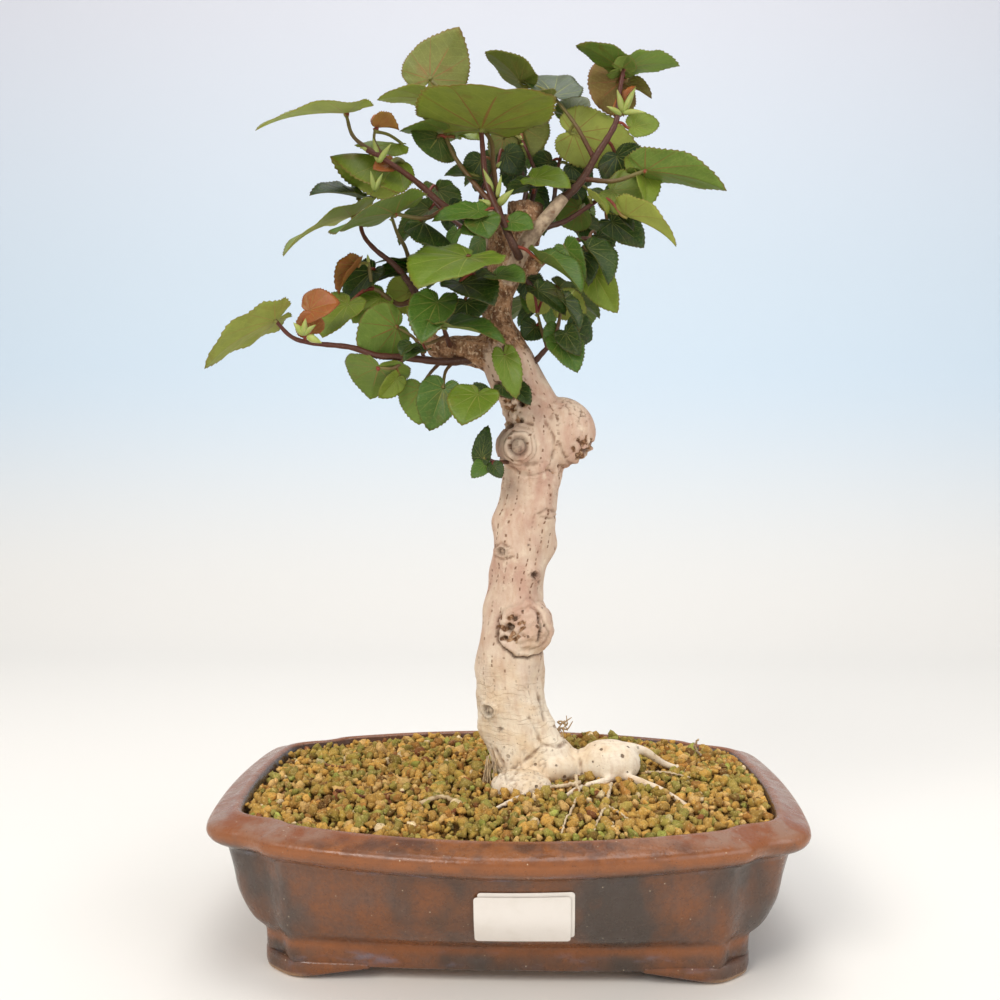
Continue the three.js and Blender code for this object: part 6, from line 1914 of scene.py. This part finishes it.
def make_shoots(materials):
    """All shoots, each with its own starting number for what varies from leaf to leaf."""
    for seed, (name, row) in enumerate(SHOOTS.items()):
        shoot = Shoot(name, seed)
        for i, (path, start, end) in enumerate(row["stems"]):
            shoot.add_stem(path, start, end, i == 0)
        for leaf in row["leaves"]:
            shoot.add_leaf(leaf)
        for foot, tip, radius in row.get("buds", []):
            shoot.add_bud(*place([foot, tip]), radius)
        shoot.add_tips()
        shoot.build(shoot_slot(name), materials)
    for name, path, count, seed in BACK_SHOOTS:
        shoot = Shoot(name, seed)
        shoot.add_stem(path, 1.6, 0.9, True)
        for leaf in back_leaves(path, count, seed) + filler_leaves(path, seed):
            shoot.add_leaf(leaf)
        shoot.add_tips()
        shoot.build("leaf_dark", materials)


# Stage and light

# The floor in metres: its front end, where it bends up, the bend's radius, its top and half width.
FLOOR_FRONT = -1.6
BEND_START = 0.75
BEND_RADIUS = 0.55
BACK_TOP = 2.4
FLOOR_HALF = 2.2
# The floor lies this little under the feet.
FLOOR_DROP = 0.0004
# Lamps: name, place and size in metres, watts and colour.
LAMPS = [
    ("key", (-0.9, -1.3, 1.3), 0.9, 22, (1, 0.97, 0.93)),
    ("fill", (1.3, -1.0, 0.7), 1.1, 9, (0.97, 0.98, 1)),
    ("top", (0.1, 0.1, 1.6), 1.0, 11, (1, 1, 1)),
]
LAMP_TARGET = (0, 0, 0.2)
ROOM_COLOR = (0.93, 0.94, 1, 1)
ROOM_STRENGTH = 0.5


def make_stage(material):
    """A pale floor that sweeps up behind the pot."""
    profile = [(FLOOR_FRONT, 0)]
    for a in np.linspace(0, math.pi / 2, 24):
        profile.append((BEND_START + BEND_RADIUS * math.sin(a), BEND_RADIUS - BEND_RADIUS * math.cos(a)))
    profile.append((BEND_START + BEND_RADIUS, BACK_TOP))
    points = [(x, y, z - FLOOR_DROP) for x in (-FLOOR_HALF, FLOOR_HALF) for y, z in profile]
    count = len(profile)
    faces = [(i, count + i, count + i + 1, i + 1) for i in range(count - 1)]
    mesh = bpy.data.meshes.new("sweep")
    mesh.from_pydata(points, [], faces)
    mesh.materials.append(material)
    mesh.polygons.foreach_set("use_smooth", [True] * len(faces))
    add_object("sweep", mesh)


def add_lamp(name, place_at, size, watts, color):
    """A square area light that points at the plant."""
    data = bpy.data.lights.new(name, "AREA")
    data.shape = "SQUARE"
    data.size = size
    data.energy = watts
    data.color = color
    lamp = add_object(name, data)
    lamp.location = place_at
    lamp.rotation_euler = (Vector(LAMP_TARGET) - Vector(place_at)).to_track_quat("-Z", "Y").to_euler()


def add_lights():
    """Three lamps and an even light from all round."""
    for lamp in LAMPS:
        add_lamp(*lamp)
    world = bpy.data.worlds.new("room")
    world.use_nodes = True
    background = world.node_tree.nodes["Background"]
    background.inputs["Color"].default_value = ROOM_COLOR
    background.inputs["Strength"].default_value = ROOM_STRENGTH
    bpy.context.scene.world = world
    bpy.context.scene.view_settings.view_transform = "Standard"


glaze = glaze_material()
paper = paper_material()
bark = bark_material()
leafy = [leaf_material(), stalk_material(), bud_material()]
net = net_material()

make_pot(glaze)
for label in LABELS:
    make_label(*label, paper)
make_soil(soil_material(), granule_material())
make_trunk(bark)
make_rootlets(root_material())
make_shoots(leafy)
for node in ("drain_net_left", "drain_net_right"):
    frame["nodes"][node].data.materials.clear()
    frame["nodes"][node].data.materials.append(net)
make_stage(stage_material())
add_lights()
add_camera()
